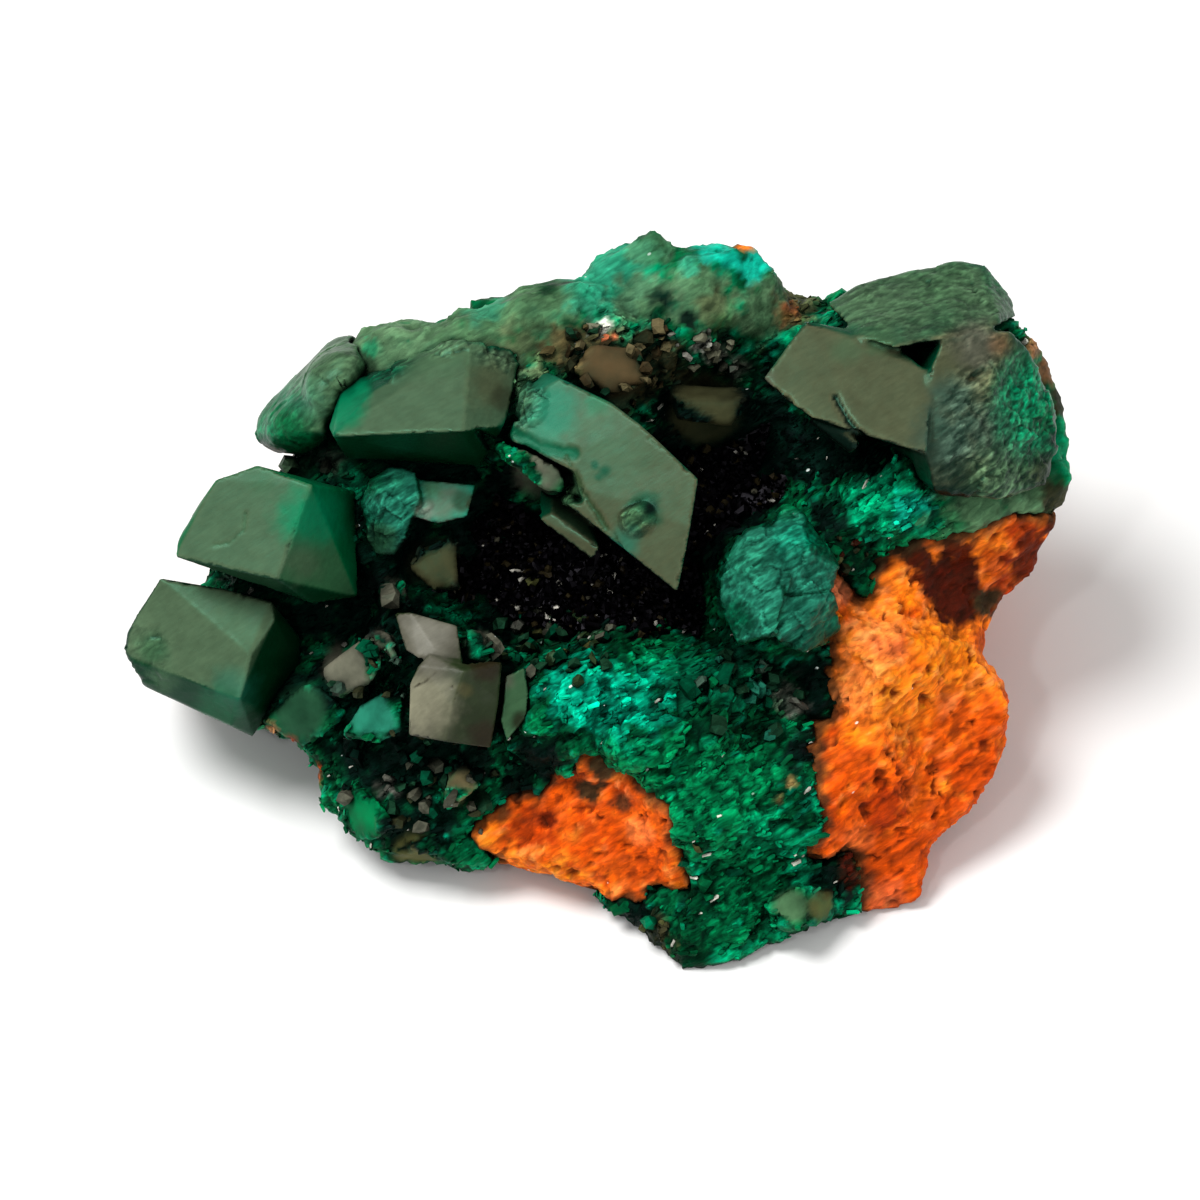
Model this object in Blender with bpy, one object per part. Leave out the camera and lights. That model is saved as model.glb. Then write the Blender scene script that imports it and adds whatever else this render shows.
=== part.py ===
# Dioptase specimen: dark green dioptase crystals, some with a granular green crust between them,
# on a lump of orange iron-stained rock. It lies on the rock's flat underside, crystal side up and
# leaning back, with a deep druse-lined hollow in the middle of the crystal side.
#
# The crystal side has a frame of its own, in millimetres: u runs to the right, v up the side and
# w straight out of it. Every outline and crystal corner below is a point of that frame.

import math
import random

import bmesh
import bpy
import numpy as np
from mathutils import Matrix, Vector, noise

MM = 0.001

# Driving dimensions, in millimetres and degrees
FACE_TILT = 50.0  # how far the crystal side leans back from upright
FACE_HEIGHT = 15.6  # height of the face frame's middle above the table
CRUST_THICKNESS = 3.0
CRUST_SINK = 4.0  # how deep the crust's own mesh dives where the rock is bare
CRUST_BITE = 1.5  # how steeply it dives there
WALL_ROUNDS = 4  # how many points wide the crust stays on the hollow's steep walls
SEAT_GAP = 0.3  # between pieces that sit on each other
EDGE_ROUNDING = 2.4
SIDE_TAPER = 0.25  # the flanks draw in by this much per millimetre behind WIDEST_DEPTH
WIDEST_DEPTH = -4.0
BACK_LIMIT = 23.5  # how far back the rock reaches on its middle line
BACK_CURVE = 0.009  # the back draws in towards both ends
UNDERCUT = 0.03  # and below UNDERCUT_HEIGHT towards the foot
UNDERCUT_HEIGHT = 9.0
CRUST_REACH = 9.0  # how deep the crust comes down the flanks
LEFT_REACH = 5.0  # and how much deeper on the left one
LEFT_FLANK = -15.0
LEFT_FADE = 4.0
BACK_CRUST_HEIGHT = 9.5  # on the back the crust comes down to about here
CRUST_WANDER = (3.6, 0.8)  # the size of its edge's bays, and how far they wander
FOOT_DEPTH = 3.0  # spare rock below the table plane, cut off flat
HOLLOW_SPREAD = 2.1  # how far each depth point's influence reaches
STAR_CENTRE = (0.0, 0.0, -13.0)  # in the face frame, deep inside the rock
FARTHEST_SKIN = 48.0
SKIN_STEP = 0.5

# Unevenness of the surfaces: size of a lump, its height, and the pattern's seed. A lump's height
# grows with the distance from its creases up to CREASE_REACH of its size.
CREASE_REACH = 0.6
CREASE_DEPTH = 0.25
BROKEN_LUMPS = (9.0, 5.5, 21.0)  # of the sides and back, below BROKEN_FROM
BROKEN_GRAIN = (5.0, 0.9, 14.0)
BROKEN_FROM = -5.0
BROKEN_FADE = 6.0
ROCK_GRAIN = (2.6, 0.45, 3.0)
CRUST_LUMPS = (2.6, 1.5, 5.0)
CRUST_GRAIN = (1.6, 0.2, 8.0)

# Fineness of the icospheres, and the triangles of the two large meshes after thinning out
LUMP_SUBDIVISIONS = 6
DRUSE_SUBDIVISIONS = 5
ROCK_TRIANGLES = 2300
CRUST_TRIANGLES = 2900

# The druse: how deep its bed lies under the skin, its thickness and the height of its points
DRUSE_BED = 0.6
DRUSE_THICKNESS = 1.1
DRUSE_HEIGHT = 1.1

# The whole lump's outline as seen straight on, without the crystals that stand out on the left
ROCK_OUTLINE = [
    (-15.9, 16.1), (-14.1, 17.4), (-10, 17.5), (-6.2, 18.9), (-3.4, 20.1), (-1.8, 19.8),
    (-0.6, 21.6), (1.2, 22.8), (2.8, 23.1), (4.1, 22.9), (4.8, 22.3), (5.9, 22.3), (8.4, 23.2),
    (9.7, 22.9), (10.9, 21.9), (12.5, 20.8), (13.9, 19.5), (15.6, 19.8), (16.9, 20.3),
    (19.1, 20.7), (22.5, 21.2), (24.1, 21), (25.3, 19.7), (26.1, 18.8), (26.2, 17.4),
    (27.2, 16.6), (28.8, 14.4), (29.7, 12.5), (30, 9.4), (29.8, 6.9), (29.2, 4.1), (28.8, 3.2),
    (26.9, 1.2), (25.5, 0), (24.9, -1.9), (24.4, -3.9), (25.6, -5.6), (26.2, -7.2),
    (26.1, -9.1), (25, -11.2), (23.4, -13.1), (21.6, -14.9), (20.6, -17.2), (19.7, -18.8),
    (18.4, -19.5), (15.6, -19.9), (14.1, -20.3), (11.2, -21.6), (9.7, -22.5), (7.5, -23),
    (5.3, -23.3), (4.1, -23.1), (3.4, -21.6), (1.6, -20.6), (0, -19.2), (-0.4, -18.2),
    (-2.5, -17.5), (-6.2, -16.6), (-7.8, -17.1), (-9.7, -16.8), (-10.9, -16.2),
    (-13.8, -16.2), (-15.6, -15.3), (-16.9, -13.4), (-18.1, -10.9), (-19.7, -9.2),
    (-22.5, -8.4), (-24.7, -7), (-26.2, -5), (-26.9, -2.5), (-25.6, 0.6), (-24.1, 3.8),
    (-22.2, 6.6), (-20, 9.1), (-18.8, 12.5),
]

# Where bare rock shows on the crystal side
BARE_ROCK = {
    "low window": [
        (-7.8, -15.3), (-6.2, -13.6), (-3.8, -11.9), (-1.2, -10.5), (0.8, -10.5), (2.5, -12.2),
        (4.2, -13.4), (5, -15.6), (5.8, -19.1), (2.5, -19.1), (-0.3, -18.6), (-2.5, -19),
        (-6.2, -18),
    ],
    "right flank": [
        (13.4, 1.4), (15, 2.4), (16.4, 0.9), (18, 1.9), (17.5, 3.1), (20.6, 4.1), (23.8, 4.4),
        (26.2, 5.3), (29.7, 6.2), (34, 6), (34, -22), (16.1, -22), (16.6, -17.5), (16.4, -16),
        (14.1, -16.2), (13.6, -12.5), (14.1, -8.8), (15.3, -7.5), (15.2, -2.5), (13.9, 0),
    ],
}

# Depth of the rock and crust at points over the crystal side: (u, v, w)
DEPTH_POINTS = [
    # foot and lower slope
    (6.2, -20.6, 0.5), (1.2, -18.8, -1.5), (0, -15, 0), (-5, -15, -1.5), (6.2, -12.5, 3),
    (11.2, -18.8, -1), (18.8, -16.2, -2.5), (16.2, -11.2, 0.5), (22.5, -10, -3),
    (-10.6, -5.6, -0.5), (-16.9, -6.2, -4), (-12.5, -12.5, -1.5), (-15, -13.8, -3.5),
    # middle
    (11.2, 0.6, 2.5), (0, -6.2, 2.5), (5.6, -5.6, 2.5), (12.5, -6.2, -1), (12.5, -11.9, 1.5),
    (18.8, -3.1, 1.5), (23.8, -6.2, -3), (18.8, 1.9, -2), (22.5, 0.3, -5), (26.9, 2.5, -5),
    (16.9, 6.2, 1), (23.8, 6.2, -0.2), (23.8, 12.5, -1.8), (28.1, 10.6, -4),
    # top
    (20.6, 18.8, -2.5), (15.6, 14.4, -1.5), (13.2, 19.7, -7), (10, 20.6, -3.5),
    (2.5, 20.6, -3.5), (6.2, 17.2, -1.5), (0, 15.6, -0.2), (-4.4, 16.9, -0.8),
    (-10, 16.6, -0.2), (-14.4, 15.4, -1.4), (-11.2, 12.5, 0.5), (-3.1, 11.2, 0.3),
    (3.8, 14.4, -2),
    # under the crystals of the left side
    (-18.8, -1.9, -6.5), (-25, -1.2, -7), (-21.9, 3.8, -5), (-13.4, 5.6, -3), (-16.9, 10, -4.5),
    (-9.4, 5, -4),
    # the hollow
    (9.4, 8.1, -7.5), (-2.5, 0.6, -6), (-6.9, 2.5, -6.5), (6.2, 10.6, -7.5), (5.6, 0, -5),
    (1.2, 3.8, -7.5), (11.9, 9.4, -6.5),
]

# The part of the hollow that the druse lines
HOLLOW_OUTLINE = [
    (3.6, 11.6), (8.8, 11), (10.4, 13.6), (13.2, 10.8), (19.6, 9.2), (20.2, 7.6), (14, 7),
    (13, 5), (11, 6.2), (8.6, 4.6), (7, 2), (6.8, -1.4), (3.6, -2.6), (-2.6, -2), (-6.2, -0.2),
    (-11.6, 0), (-11.8, 3.4), (-8.6, 3), (-8.4, 6.2), (-6.6, 7.4), (-4.6, 6.6), (0, 9),
]

# The large crystals. "face" goes round the lit face, "flank" holds further corners, lower down.
# "root" is the depth to which the crystal narrows inside the lump.
LARGE_CRYSTALS = {
    "roof_crystal": [
        {
            "face": [
                (-16.6, 10.2, 3.2), (-8.5, 10.5, 4.2), (-8.1, 16.1, 0.8), (-9.6, 16.2, 0.2),
                (-14.2, 13, 1.6),
            ],
            "flank": [
                (-16.1, 13.5, -0.8), (-16.9, 10.8, 1), (-5.9, 10.9, 2.2), (-4.9, 15.6, -0.8),
                (-15.9, 8.9, -1.5), (-7.5, 8.4, -1),
            ],
            "root": -8,
        },
    ],
    "left_lobe_crystal": [
        {
            "face": [
                (-20.3, 10.7, -1.9), (-18, 13.4, -0.7), (-15.4, 15.8, -0.9), (-16.2, 12.8, 0.4),
                (-16.9, 10.4, 0),
            ],
            "flank": [
                (-21.9, 10.5, -4.4), (-21.6, 11.8, -4.4), (-19.4, 13.6, -3.6),
                (-18, 15.3, -3.6), (-16.6, 16.7, -4.2), (-14.1, 16.9, -3), (-21.1, 9.4, -4.2),
                (-18.8, 9.3, -2.8),
            ],
            "root": -10,
        },
    ],
    "left_upper_crystal": [
        {
            "face": [
                (-26.5, 2.7, 0.5), (-26.4, 3.8, 0), (-25, 6.1, 0), (-24, 7.5, 0.5),
                (-21.4, 8.4, 1), (-18, 7.2, 2.2), (-20.1, 1.3, 2.6), (-22.5, 1.8, 1.8),
            ],
            "flank": [(-15.3, 6.8, -3), (-15.2, 0.2, -2.5), (-18, -0.2, -0.5)],
            "root": -9,
        },
    ],
    "left_lower_crystal": [
        {
            "face": [
                (-30, -3.4, -4), (-29.8, -2, -4), (-27.6, 1.4, -3), (-23.6, 0.7, -2.5),
                (-20.6, -0.1, -2), (-20.4, -1.2, -1.8), (-21.9, -3.4, -1), (-22.6, -6.2, -1.2),
                (-23.2, -7.9, -3.5), (-25, -7, -4), (-28.8, -5.4, -5),
            ],
            "flank": [
                (-18.9, -2.3, -5), (-18.9, -4.2, -5.5), (-20.8, -7, -4.5), (-21.9, -8.6, -5),
            ],
            "root": -12,
        },
    ],
    "blade_crystal": [
        {
            "face": [
                (4.8, 0.5, 6.2), (5.6, 4.5, 6.1), (6.1, 7.5, 5.6), (4.2, 9.2, 4.8),
                (2.5, 10.9, 4), (0.8, 12.2, 3.2), (-2.5, 13.8, 1.8), (-5, 12.5, 1.2),
                (-5.8, 10.5, 1.6), (-4.4, 8.2, 2.6), (-3.2, 6.9, 3.1), (-0.6, 5.5, 4),
                (2, 2.8, 5.2),
            ],
            "flank": [(-2.5, 6.9, -3), (2.5, 3.4, 1.5), (5.6, 5.9, 1.8), (0.6, 12.5, -3)],
            "root": -5,
            "root_at": (-3.5, 11),
        },
        {
            "face": [(-3.8, 5, 0.6), (-3, 5.4, 0.8), (0, 3.2, 2.2), (-0.5, 2.5, 1.8)],
            "flank": [(-2.6, 6.8, -2), (-0.6, 5, 0)],
            "root": -3,
            "root_at": (-2.2, 7.4),
        },
    ],
    "right_crystals": [
        {
            "face": [
                (12.8, 17.4, 1.5), (10.2, 13.8, 2.8), (11.5, 12.5, 3.4), (13.2, 11.3, 4),
                (16.4, 10.7, 4.4), (18.6, 9.7, 4.8), (20.3, 9, 5), (20.6, 14.1, 2.9),
                (18.4, 15.8, 1.8), (15.6, 16.9, 1),
            ],
            "flank": [],
            "root": -8,
        },
        {
            "face": [(12.9, 11.2, 2.4), (13.5, 11.6, 3), (16.2, 9.7, 3.2), (15.6, 9.1, 2.4)],
            "flank": [(14, 12.5, 1.5), (16, 11.5, 1.5)],
            "root": -4,
        },
        {
            "face": [(16.2, 16.4, 2), (18.3, 15.7, 3.2), (21.2, 16.2, 2.8), (25, 17.2, 1)],
            "flank": [
                (14.2, 18.6, -1.5), (16.2, 19.8, -2), (19.1, 20.6, -2.5), (22.5, 21.3, -3),
                (24.1, 21.1, -3), (25.5, 19.5, -3), (26.2, 17.8, -2.5),
            ],
            "root": -8,
        },
        {
            "face": [
                (20.5, 14.1, 3.2), (21.4, 16.3, 2.4), (25.6, 16.9, 0.8), (25, 6.2, 1.4),
                (20.8, 6.6, 2.4), (20.1, 10, 3.6), (21.6, 10, 3.8), (24, 12.4, 2.8),
            ],
            "flank": [
                (26.9, 15.6, -0.5), (28.5, 12.5, -2), (28.8, 10, -2.5), (28, 7.2, -1.5),
                (18.2, 13, -1), (18.2, 9.5, -2),
            ],
            "root": -8,
        },
    ],
    "centre_crystal": [
        {
            "face": [
                (7.3, -0.3, 3), (7.6, 2.1, 3.4), (9, 4.4, 3), (10.6, 4.7, 2.8), (11.9, 1.2, 4.8),
                (10.9, -2.2, 4.6), (8.6, -2.7, 3.4), (9.2, 1.6, 4.6),
            ],
            "flank": [],
            "root": -5,
        },
        {
            "face": [
                (10.5, 4.6, 2.8), (11.6, 6.1, 1.6), (12.7, 5.5, 2), (14.9, 1.9, 2.2),
                (14.4, 0.4, 3), (11.6, 1, 4.4), (12.6, 3.2, 3.8),
            ],
            "flank": [],
            "root": -5,
        },
        {
            "face": [
                (11.2, 0.9, 4.2), (14.4, 0.8, 3.2), (15, -1.8, 1.8), (12.8, -3.3, 3),
                (11, -2.6, 4), (13, -0.6, 4.2),
            ],
            "flank": [],
            "root": -5,
        },
    ],
    "hollow_crystals": [
        {
            "face": [
                (-15.2, 6.1, -1.5), (-14.2, 7.6, -1), (-13.2, 8.4, -1), (-11.6, 8.2, -0.8),
                (-11.2, 6.2, -0.2), (-12.2, 3.8, -0.6), (-12.9, 2.8, -1), (-14.1, 2.9, -1.8),
                (-13.4, 5.9, 0.4),
            ],
            "flank": [],
            "root": -8,
        },
        {
            "face": [
                (-11.8, 7.6, -1.2), (-7.8, 7.2, -0.6), (-8.3, 5.2, 0), (-10.1, 4.8, -0.2),
                (-11.8, 5.1, -0.8),
            ],
            "flank": [],
            "root": -8,
        },
    ],
    "pale_crystals": [
        {
            "face": [
                (-11.3, -4.1, 3.4), (-10.6, -3.4, 3.2), (-8.4, -4.4, 4.4), (-9.2, -6.6, 4.6),
                (-9.6, -8.8, 4.4), (-11.9, -8.4, 3.4), (-11.8, -5.2, 3.3),
            ],
            "flank": [(-6.1, -3.9, 3), (-6.3, -6.3, 3.1), (-6.8, -9.2, 2.8)],
            "root": -5,
        },
        {
            "face": [
                (-12.8, -0.8, 1.4), (-11.8, -0.8, 1.8), (-8.9, -1.6, 2.4), (-8.6, -3.6, 3.2),
                (-10.2, -3.2, 3.1), (-11.3, -3.6, 2.9), (-12.1, -3.1, 2.3),
            ],
            "flank": [],
            "root": -5,
        },
    ],
    "slim_crystal": [
        {
            "face": [
                (-6, -4.8, 2.4), (-4.7, -4.2, 2), (-4.3, -6.9, 2.2), (-5.8, -8.8, 2.5),
                (-6.2, -7.5, 2.5),
            ],
            "flank": [],
            "root": -5,
        },
    ],
}

# Small crystals, fused to the crust that they grow from
SMALL_CRYSTALS = {
    "notch_plate": [
        (-21.4, 8.9, -4), (-20.4, 9.7, -2.5), (-18.9, 9.1, -2), (-18.8, 8.1, -3),
        (-20.9, 8.2, -3.5),
    ],
    "blade_step": [
        (-6.6, 9.9, 1.8), (-4.5, 9.2, 2.4), (-2.5, 8.1, 2.8), (-2.1, 6.8, 2.6),
        (-3.4, 6.9, 2.2), (-5.1, 8.4, 1.4), (-6.2, 9.1, 1),
    ],
    "hollow_facet": [
        (-11.2, 3.2, -1.6), (-9.1, 3.9, -1.2), (-8.9, 0.8, -0.6), (-10.5, 0.7, -0.8),
        (-12, 2.1, -1.4),
    ],
    "hollow_stub": [(-13.8, 0.9, -1.8), (-12.4, 1.1, -1.4), (-11.9, -0.4, -1), (-13.4, -0.2, -1.4)],
    "hollow_top": [
        (4.7, 12.4, -1.6), (8.7, 12.3, -1.6), (8.2, 10.9, -1.8), (4.8, 11.4, -1.8),
        (4.2, 13.5, -3.2), (9.8, 13.2, -3.4),
    ],
    "corner_block": [
        (-21.1, -7.6, -4), (-18.5, -5.2, -1.8), (-16.9, -5.8, -1.2), (-15.9, -7.1, -1.4),
        (-17.2, -8.5, -1.8), (-19.3, -9.1, -4),
    ],
    "grey_hexagon": [
        (-17.4, -4.4, -0.6), (-14.7, -2.4, 0.8), (-13.6, -3.9, 1.2), (-14.4, -5.2, 0.9),
        (-16.4, -6.1, 0),
    ],
    "grey_sliver": [
        (-14.6, -1.7, 0.6), (-13.1, -2.2, 1.1), (-12.8, -3.4, 1.5), (-12.4, -4.1, 1.8),
        (-13.6, -2.9, 1.1),
    ],
    "grey_corner": [
        (-8.3, -1.9, 1.2), (-7.5, -2, 1.1), (-6.8, -3.1, 0.8), (-7.2, -3.8, 1.2),
        (-8.2, -3.8, 1.6),
    ],
    "teal_wedge": [
        (-16.1, -8.5, -0.4), (-14.9, -6.6, 0.2), (-13.4, -5.8, 0.8), (-12.3, -5.9, 1),
        (-12.4, -8.1, 1), (-13.8, -8.8, 0.4),
    ],
    "low_lump": [
        (-16.4, -12, -3.2), (-15.5, -11.6, -2.6), (-14, -12.5, -1), (-12.9, -13.9, -0.6),
        (-13.8, -15, -1.2), (-15.2, -15.1, -3), (-16, -14.1, -4),
    ],
    "low_shard": [
        (-9.2, -10, 0.2), (-7.6, -10.7, 0.4), (-7.9, -11.9, 0.4), (-9.8, -13.3, -0.2),
        (-9.5, -11.6, 0.2),
    ],
    "low_plate": [
        (-13.8, -16.2, -4), (-11.9, -15.4, -1.6), (-10.1, -15, -1), (-9.6, -16.4, -3),
        (-10.9, -16.4, -4),
    ],
    "foot_block": [
        (10.3, -19.1, 0.4), (12.5, -17.8, 1.2), (12.4, -20.4, 1), (14.6, -18.3, -0.8),
        (14.4, -19.9, -1.4), (11, -20.6, -0.4),
    ],
    "foot_lump": [(15.1, -18.2, -1), (16.4, -17.9, -1.6), (16.5, -19.6, -2.6), (15.1, -19.8, -2.6)],
    "slope_block": [
        (0, -8.9, 3.4), (2.5, -7.2, 3.8), (5.6, -7.5, 4), (4.4, -10, 4.2), (1.2, -10.6, 3.2),
    ],
    "top_facet": [
        (-0.6, 15.9, 0.8), (2.5, 15.6, 0.9), (3.1, 13.8, 1.2), (0.6, 12.8, 1.4), (-1.6, 14.2, 1),
    ],
}
SMALL_ROOT = -5.0
SMALL_SHRINK = 0.55  # a root's width as a share of its crystal's
LARGE_SHRINK = 0.78

# Six-sided crystals of the back: across, height, heading and pitch in degrees, width and length
BACK_CRYSTALS = [
    (-11, 9.5, -20, 12, 4.8, 6.0),
    (-5.5, 10.5, 12, 8, 5.4, 6.4),
    (-1, 8.5, -8, -15, 3.8, 5.0),
    (7, 13.5, -14, 20, 5.0, 6.4),
    (11.5, 10.5, 24, 5, 4.2, 5.6),
    (17.5, 13, 10, 28, 4.8, 6.0),
]
BACK_START = 8.0  # a place inside the lump, from which the back's skin is looked for
BACK_ROOT = 2.5
BACK_SHOULDERS = (0.8, 0.62)  # where a point's faces begin, as shares of the crystal's length

# Colours of the finishes: red, green, blue, then roughness
FINISHES = {
    "orange_rock": (0.62, 0.17, 0.03, 0.85),
    "granular_green": (0.01, 0.20, 0.11, 0.55),
    "green_crystal": (0.07, 0.16, 0.08, 0.25),
    "teal_crystal": (0.02, 0.24, 0.17, 0.45),
    "pale_crystal": (0.30, 0.29, 0.22, 0.30),
    "dark_druse": (0.01, 0.02, 0.02, 0.15),
}
FINISH_OF = {
    "rock_matrix": "orange_rock",
    "dioptase_crust": "granular_green",
    "hollow_druse": "dark_druse",
    "centre_crystal": "teal_crystal",
    "hollow_crystals": "teal_crystal",
    "pale_crystals": "pale_crystal",
}

SIN_TILT = math.sin(math.radians(FACE_TILT))
COS_TILT = math.cos(math.radians(FACE_TILT))


# Frames


def to_world(points):
    """Face-frame points, one a row, as points over the table, all in millimetres."""
    u, v, w = np.asarray(points, float).T
    return np.stack(
        [u, v * SIN_TILT - w * COS_TILT, v * COS_TILT + w * SIN_TILT + FACE_HEIGHT], axis=1
    )


def to_face(points):
    """Points over the table as face-frame points."""
    x, y, z = np.asarray(points, float).T
    rise = z - FACE_HEIGHT
    return np.stack(
        [x, y * SIN_TILT + rise * COS_TILT, rise * SIN_TILT - y * COS_TILT], axis=1
    )


# The lump's skin


def outline_distance(points, outline):
    """Distance of (u, v) points from a closed outline, negative inside it."""
    corners = np.array(outline, float)
    following = np.roll(corners, -1, axis=0)
    sides = following - corners
    from_corner = points[:, None, :] - corners[None]
    share = (from_corner * sides).sum(2) / (sides * sides).sum(1)
    nearest = from_corner - np.clip(share, 0, 1)[:, :, None] * sides
    distance = np.sqrt((nearest * nearest).sum(2)).min(1)
    above = corners[None, :, 1] > points[:, None, 1]
    above_next = following[None, :, 1] > points[:, None, 1]
    rise = np.where(sides[:, 1] == 0, 1e-9, sides[:, 1])
    crossing = corners[:, 0] + from_corner[:, :, 1] * sides[:, 0] / rise
    inside = ((above != above_next) & (points[:, None, 0] < crossing)).sum(1) % 2 == 1
    return np.where(inside, -distance, distance)


def front_depth(points):
    """Depth of the crystal side at (u, v) points, blended from the depth points around them."""
    places = np.array(DEPTH_POINTS, float)
    apart = ((points[:, None, :] - places[None, :, :2]) ** 2).sum(2)
    far_weight = 1e-5 / (1 + apart)
    weights = np.exp(-apart / (2 * HOLLOW_SPREAD**2)) + far_weight
    return (weights * places[:, 2]).sum(1) / weights.sum(1)


def smooth_max(a, b, rounding):
    """The larger of two values, with the corner between them rounded off."""
    overlap = np.maximum(rounding - np.abs(a - b), 0)
    return np.maximum(a, b) + overlap * overlap / (4 * rounding)


def skin_gap(world_points):
    """How far points lie outside the whole lump's skin, negative inside it."""
    face = to_face(world_points)
    flat, depth = face[:, :2], face[:, 2]
    sides = outline_distance(flat, ROCK_OUTLINE)
    sides = sides + SIDE_TAPER * np.maximum(0, WIDEST_DEPTH - depth)
    front = depth - front_depth(flat)
    back = world_points[:, 1] + BACK_CURVE * world_points[:, 0] ** 2 - BACK_LIMIT
    back = back + UNDERCUT * np.maximum(0, UNDERCUT_HEIGHT - world_points[:, 2]) ** 2
    foot = -FOOT_DEPTH - world_points[:, 2]
    gap = smooth_max(sides, front, EDGE_ROUNDING)
    gap = smooth_max(gap, back, EDGE_ROUNDING)
    return np.maximum(gap, foot)


def skin_reach(directions, centre):
    """How far the skin lies from the centre along each direction."""
    reach = np.full(len(directions), FARTHEST_SKIN)
    inner = np.full(len(directions), -1.0)
    open_rays = np.arange(len(directions))
    for travelled in np.arange(SKIN_STEP, FARTHEST_SKIN, SKIN_STEP):
        gap = skin_gap(centre + directions[open_rays] * travelled)
        out = gap > 0
        hit = open_rays[out]
        reach[hit] = travelled - SKIN_STEP * gap[out] / (gap[out] - inner[hit])
        inner[open_rays] = gap
        open_rays = open_rays[~out]
        if not len(open_rays):
            break
    return reach


def rock_cover(world_points):
    """How far inside the crust's own area points lie, negative where the rock is bare."""
    face = to_face(world_points)
    windows = [outline_distance(face[:, :2], o) for o in BARE_ROCK.values()]
    from_left = np.clip((LEFT_FLANK - face[:, 0]) / LEFT_FADE, 0, 1)
    flank = face[:, 2] + CRUST_REACH + LEFT_REACH * from_left
    behind = np.maximum(flank, world_points[:, 2] - BACK_CRUST_HEIGHT)
    return np.minimum(np.minimum(*windows), behind) + grain(world_points, *CRUST_WANDER, 0)


def lumps(world_points, size, height, seed):
    """Rounded lumps with creases between them, as heights over the skin."""
    shift = Vector((seed, 2 * seed, 3 * seed))
    heights = []
    for point in world_points:
        near, second = noise.voronoi(Vector(point) / size + shift)[0][:2]
        heights.append(height * (min(second - near, CREASE_REACH) - CREASE_DEPTH))
    return np.array(heights)


def grain(world_points, size, height, seed):
    """Fine unevenness, as heights over the skin."""
    shift = Vector((seed, seed, seed))
    return np.array(
        [height * noise.fractal(Vector(p) / size + shift, 0.9, 2.1, 3) for p in world_points]
    )


# Mesh helpers


def new_object(name, mesh, collection):
    obj = bpy.data.objects.new(name, mesh)
    collection.objects.link(obj)
    return obj


def bake_modifiers(obj):
    """Makes the evaluated shape the object's own mesh."""
    graph = bpy.context.evaluated_depsgraph_get()
    mesh = bpy.data.meshes.new_from_object(obj.evaluated_get(graph))
    obj.modifiers.clear()
    old = obj.data
    obj.data = mesh
    bpy.data.meshes.remove(old)


def combine(obj, other, operation):
    """Joins another closed mesh to this one, or cuts it away."""
    modifier = obj.modifiers.new(operation.lower(), "BOOLEAN")
    modifier.operation = operation
    modifier.object = other
    bake_modifiers(obj)


def boxes_meet(a, b):
    """Whether two objects' bounding boxes meet, so that a cut between them has a use."""
    corners = [np.array([v.co for v in o.data.vertices]) for o in (a, b)]
    low = np.maximum(corners[0].min(0), corners[1].min(0))
    high = np.minimum(corners[0].max(0), corners[1].max(0))
    return bool((low < high).all())


def keep_largest(obj):
    """Drops the crumbs that a cut leaves, and closes what is left into plain triangles."""
    bm = bmesh.new()
    bm.from_mesh(obj.data)
    bmesh.ops.remove_doubles(bm, verts=bm.verts, dist=0.00001)
    bmesh.ops.triangulate(bm, faces=bm.faces)
    islands, seen = [], set()
    for start in bm.verts:
        if start in seen:
            continue
        island, waiting = [], [start]
        seen.add(start)
        while waiting:
            vert = waiting.pop()
            island.append(vert)
            for edge in vert.link_edges:
                other = edge.other_vert(vert)
                if other not in seen:
                    seen.add(other)
                    waiting.append(other)
        islands.append(island)
    islands.sort(key=len)
    for island in islands[:-1]:
        bmesh.ops.delete(bm, geom=island, context="VERTS")
    bm.to_mesh(obj.data)
    bm.free()


def cut_flat(obj, height):
    """Cuts the mesh off flat at a height over the table."""
    bm = bmesh.new()
    bm.from_mesh(obj.data)
    cut = bmesh.ops.bisect_plane(
        bm,
        geom=bm.verts[:] + bm.edges[:] + bm.faces[:],
        plane_co=(0, 0, height * MM),
        plane_no=(0, 0, -1),
        clear_outer=True,
    )
    edges = [e for e in cut["geom_cut"] if isinstance(e, bmesh.types.BMEdge)]
    bmesh.ops.contextual_create(bm, geom=edges)
    bmesh.ops.triangulate(bm, faces=bm.faces)
    bmesh.ops.recalc_face_normals(bm, faces=bm.faces)
    bm.to_mesh(obj.data)
    bm.free()


# The lump: an icosphere whose points move out to the skin


def star_directions(subdivisions):
    bm = bmesh.new()
    bmesh.ops.create_icosphere(bm, subdivisions=subdivisions, radius=1.0)
    bm.verts.index_update()
    directions = np.array([v.co.normalized() for v in bm.verts])
    return bm, directions


def star_object(name, bm, directions, centre, reach, collection):
    """The icosphere with each point moved to its own reach, in metres."""
    for vert, point in zip(bm.verts, (centre + directions * reach[:, None]) * MM):
        vert.co = point
    mesh = bpy.data.meshes.new(name)
    bm.to_mesh(mesh)
    return new_object(name, mesh, collection)


def drawn_in(reach, bm):
    """Each point's reach lowered to the lowest one near it, so that walls draw in sideways too."""
    edges = np.array([[vert.index for vert in edge.verts] for edge in bm.edges])
    for _ in range(WALL_ROUNDS):
        lower = reach.copy()
        np.minimum.at(lower, edges[:, 0], reach[edges[:, 1]])
        np.minimum.at(lower, edges[:, 1], reach[edges[:, 0]])
        reach = lower
    return reach


def thin_out(obj, triangles):
    modifier = obj.modifiers.new("thin_out", "DECIMATE")
    modifier.ratio = triangles / len(obj.data.polygons)
    bake_modifiers(obj)


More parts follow.
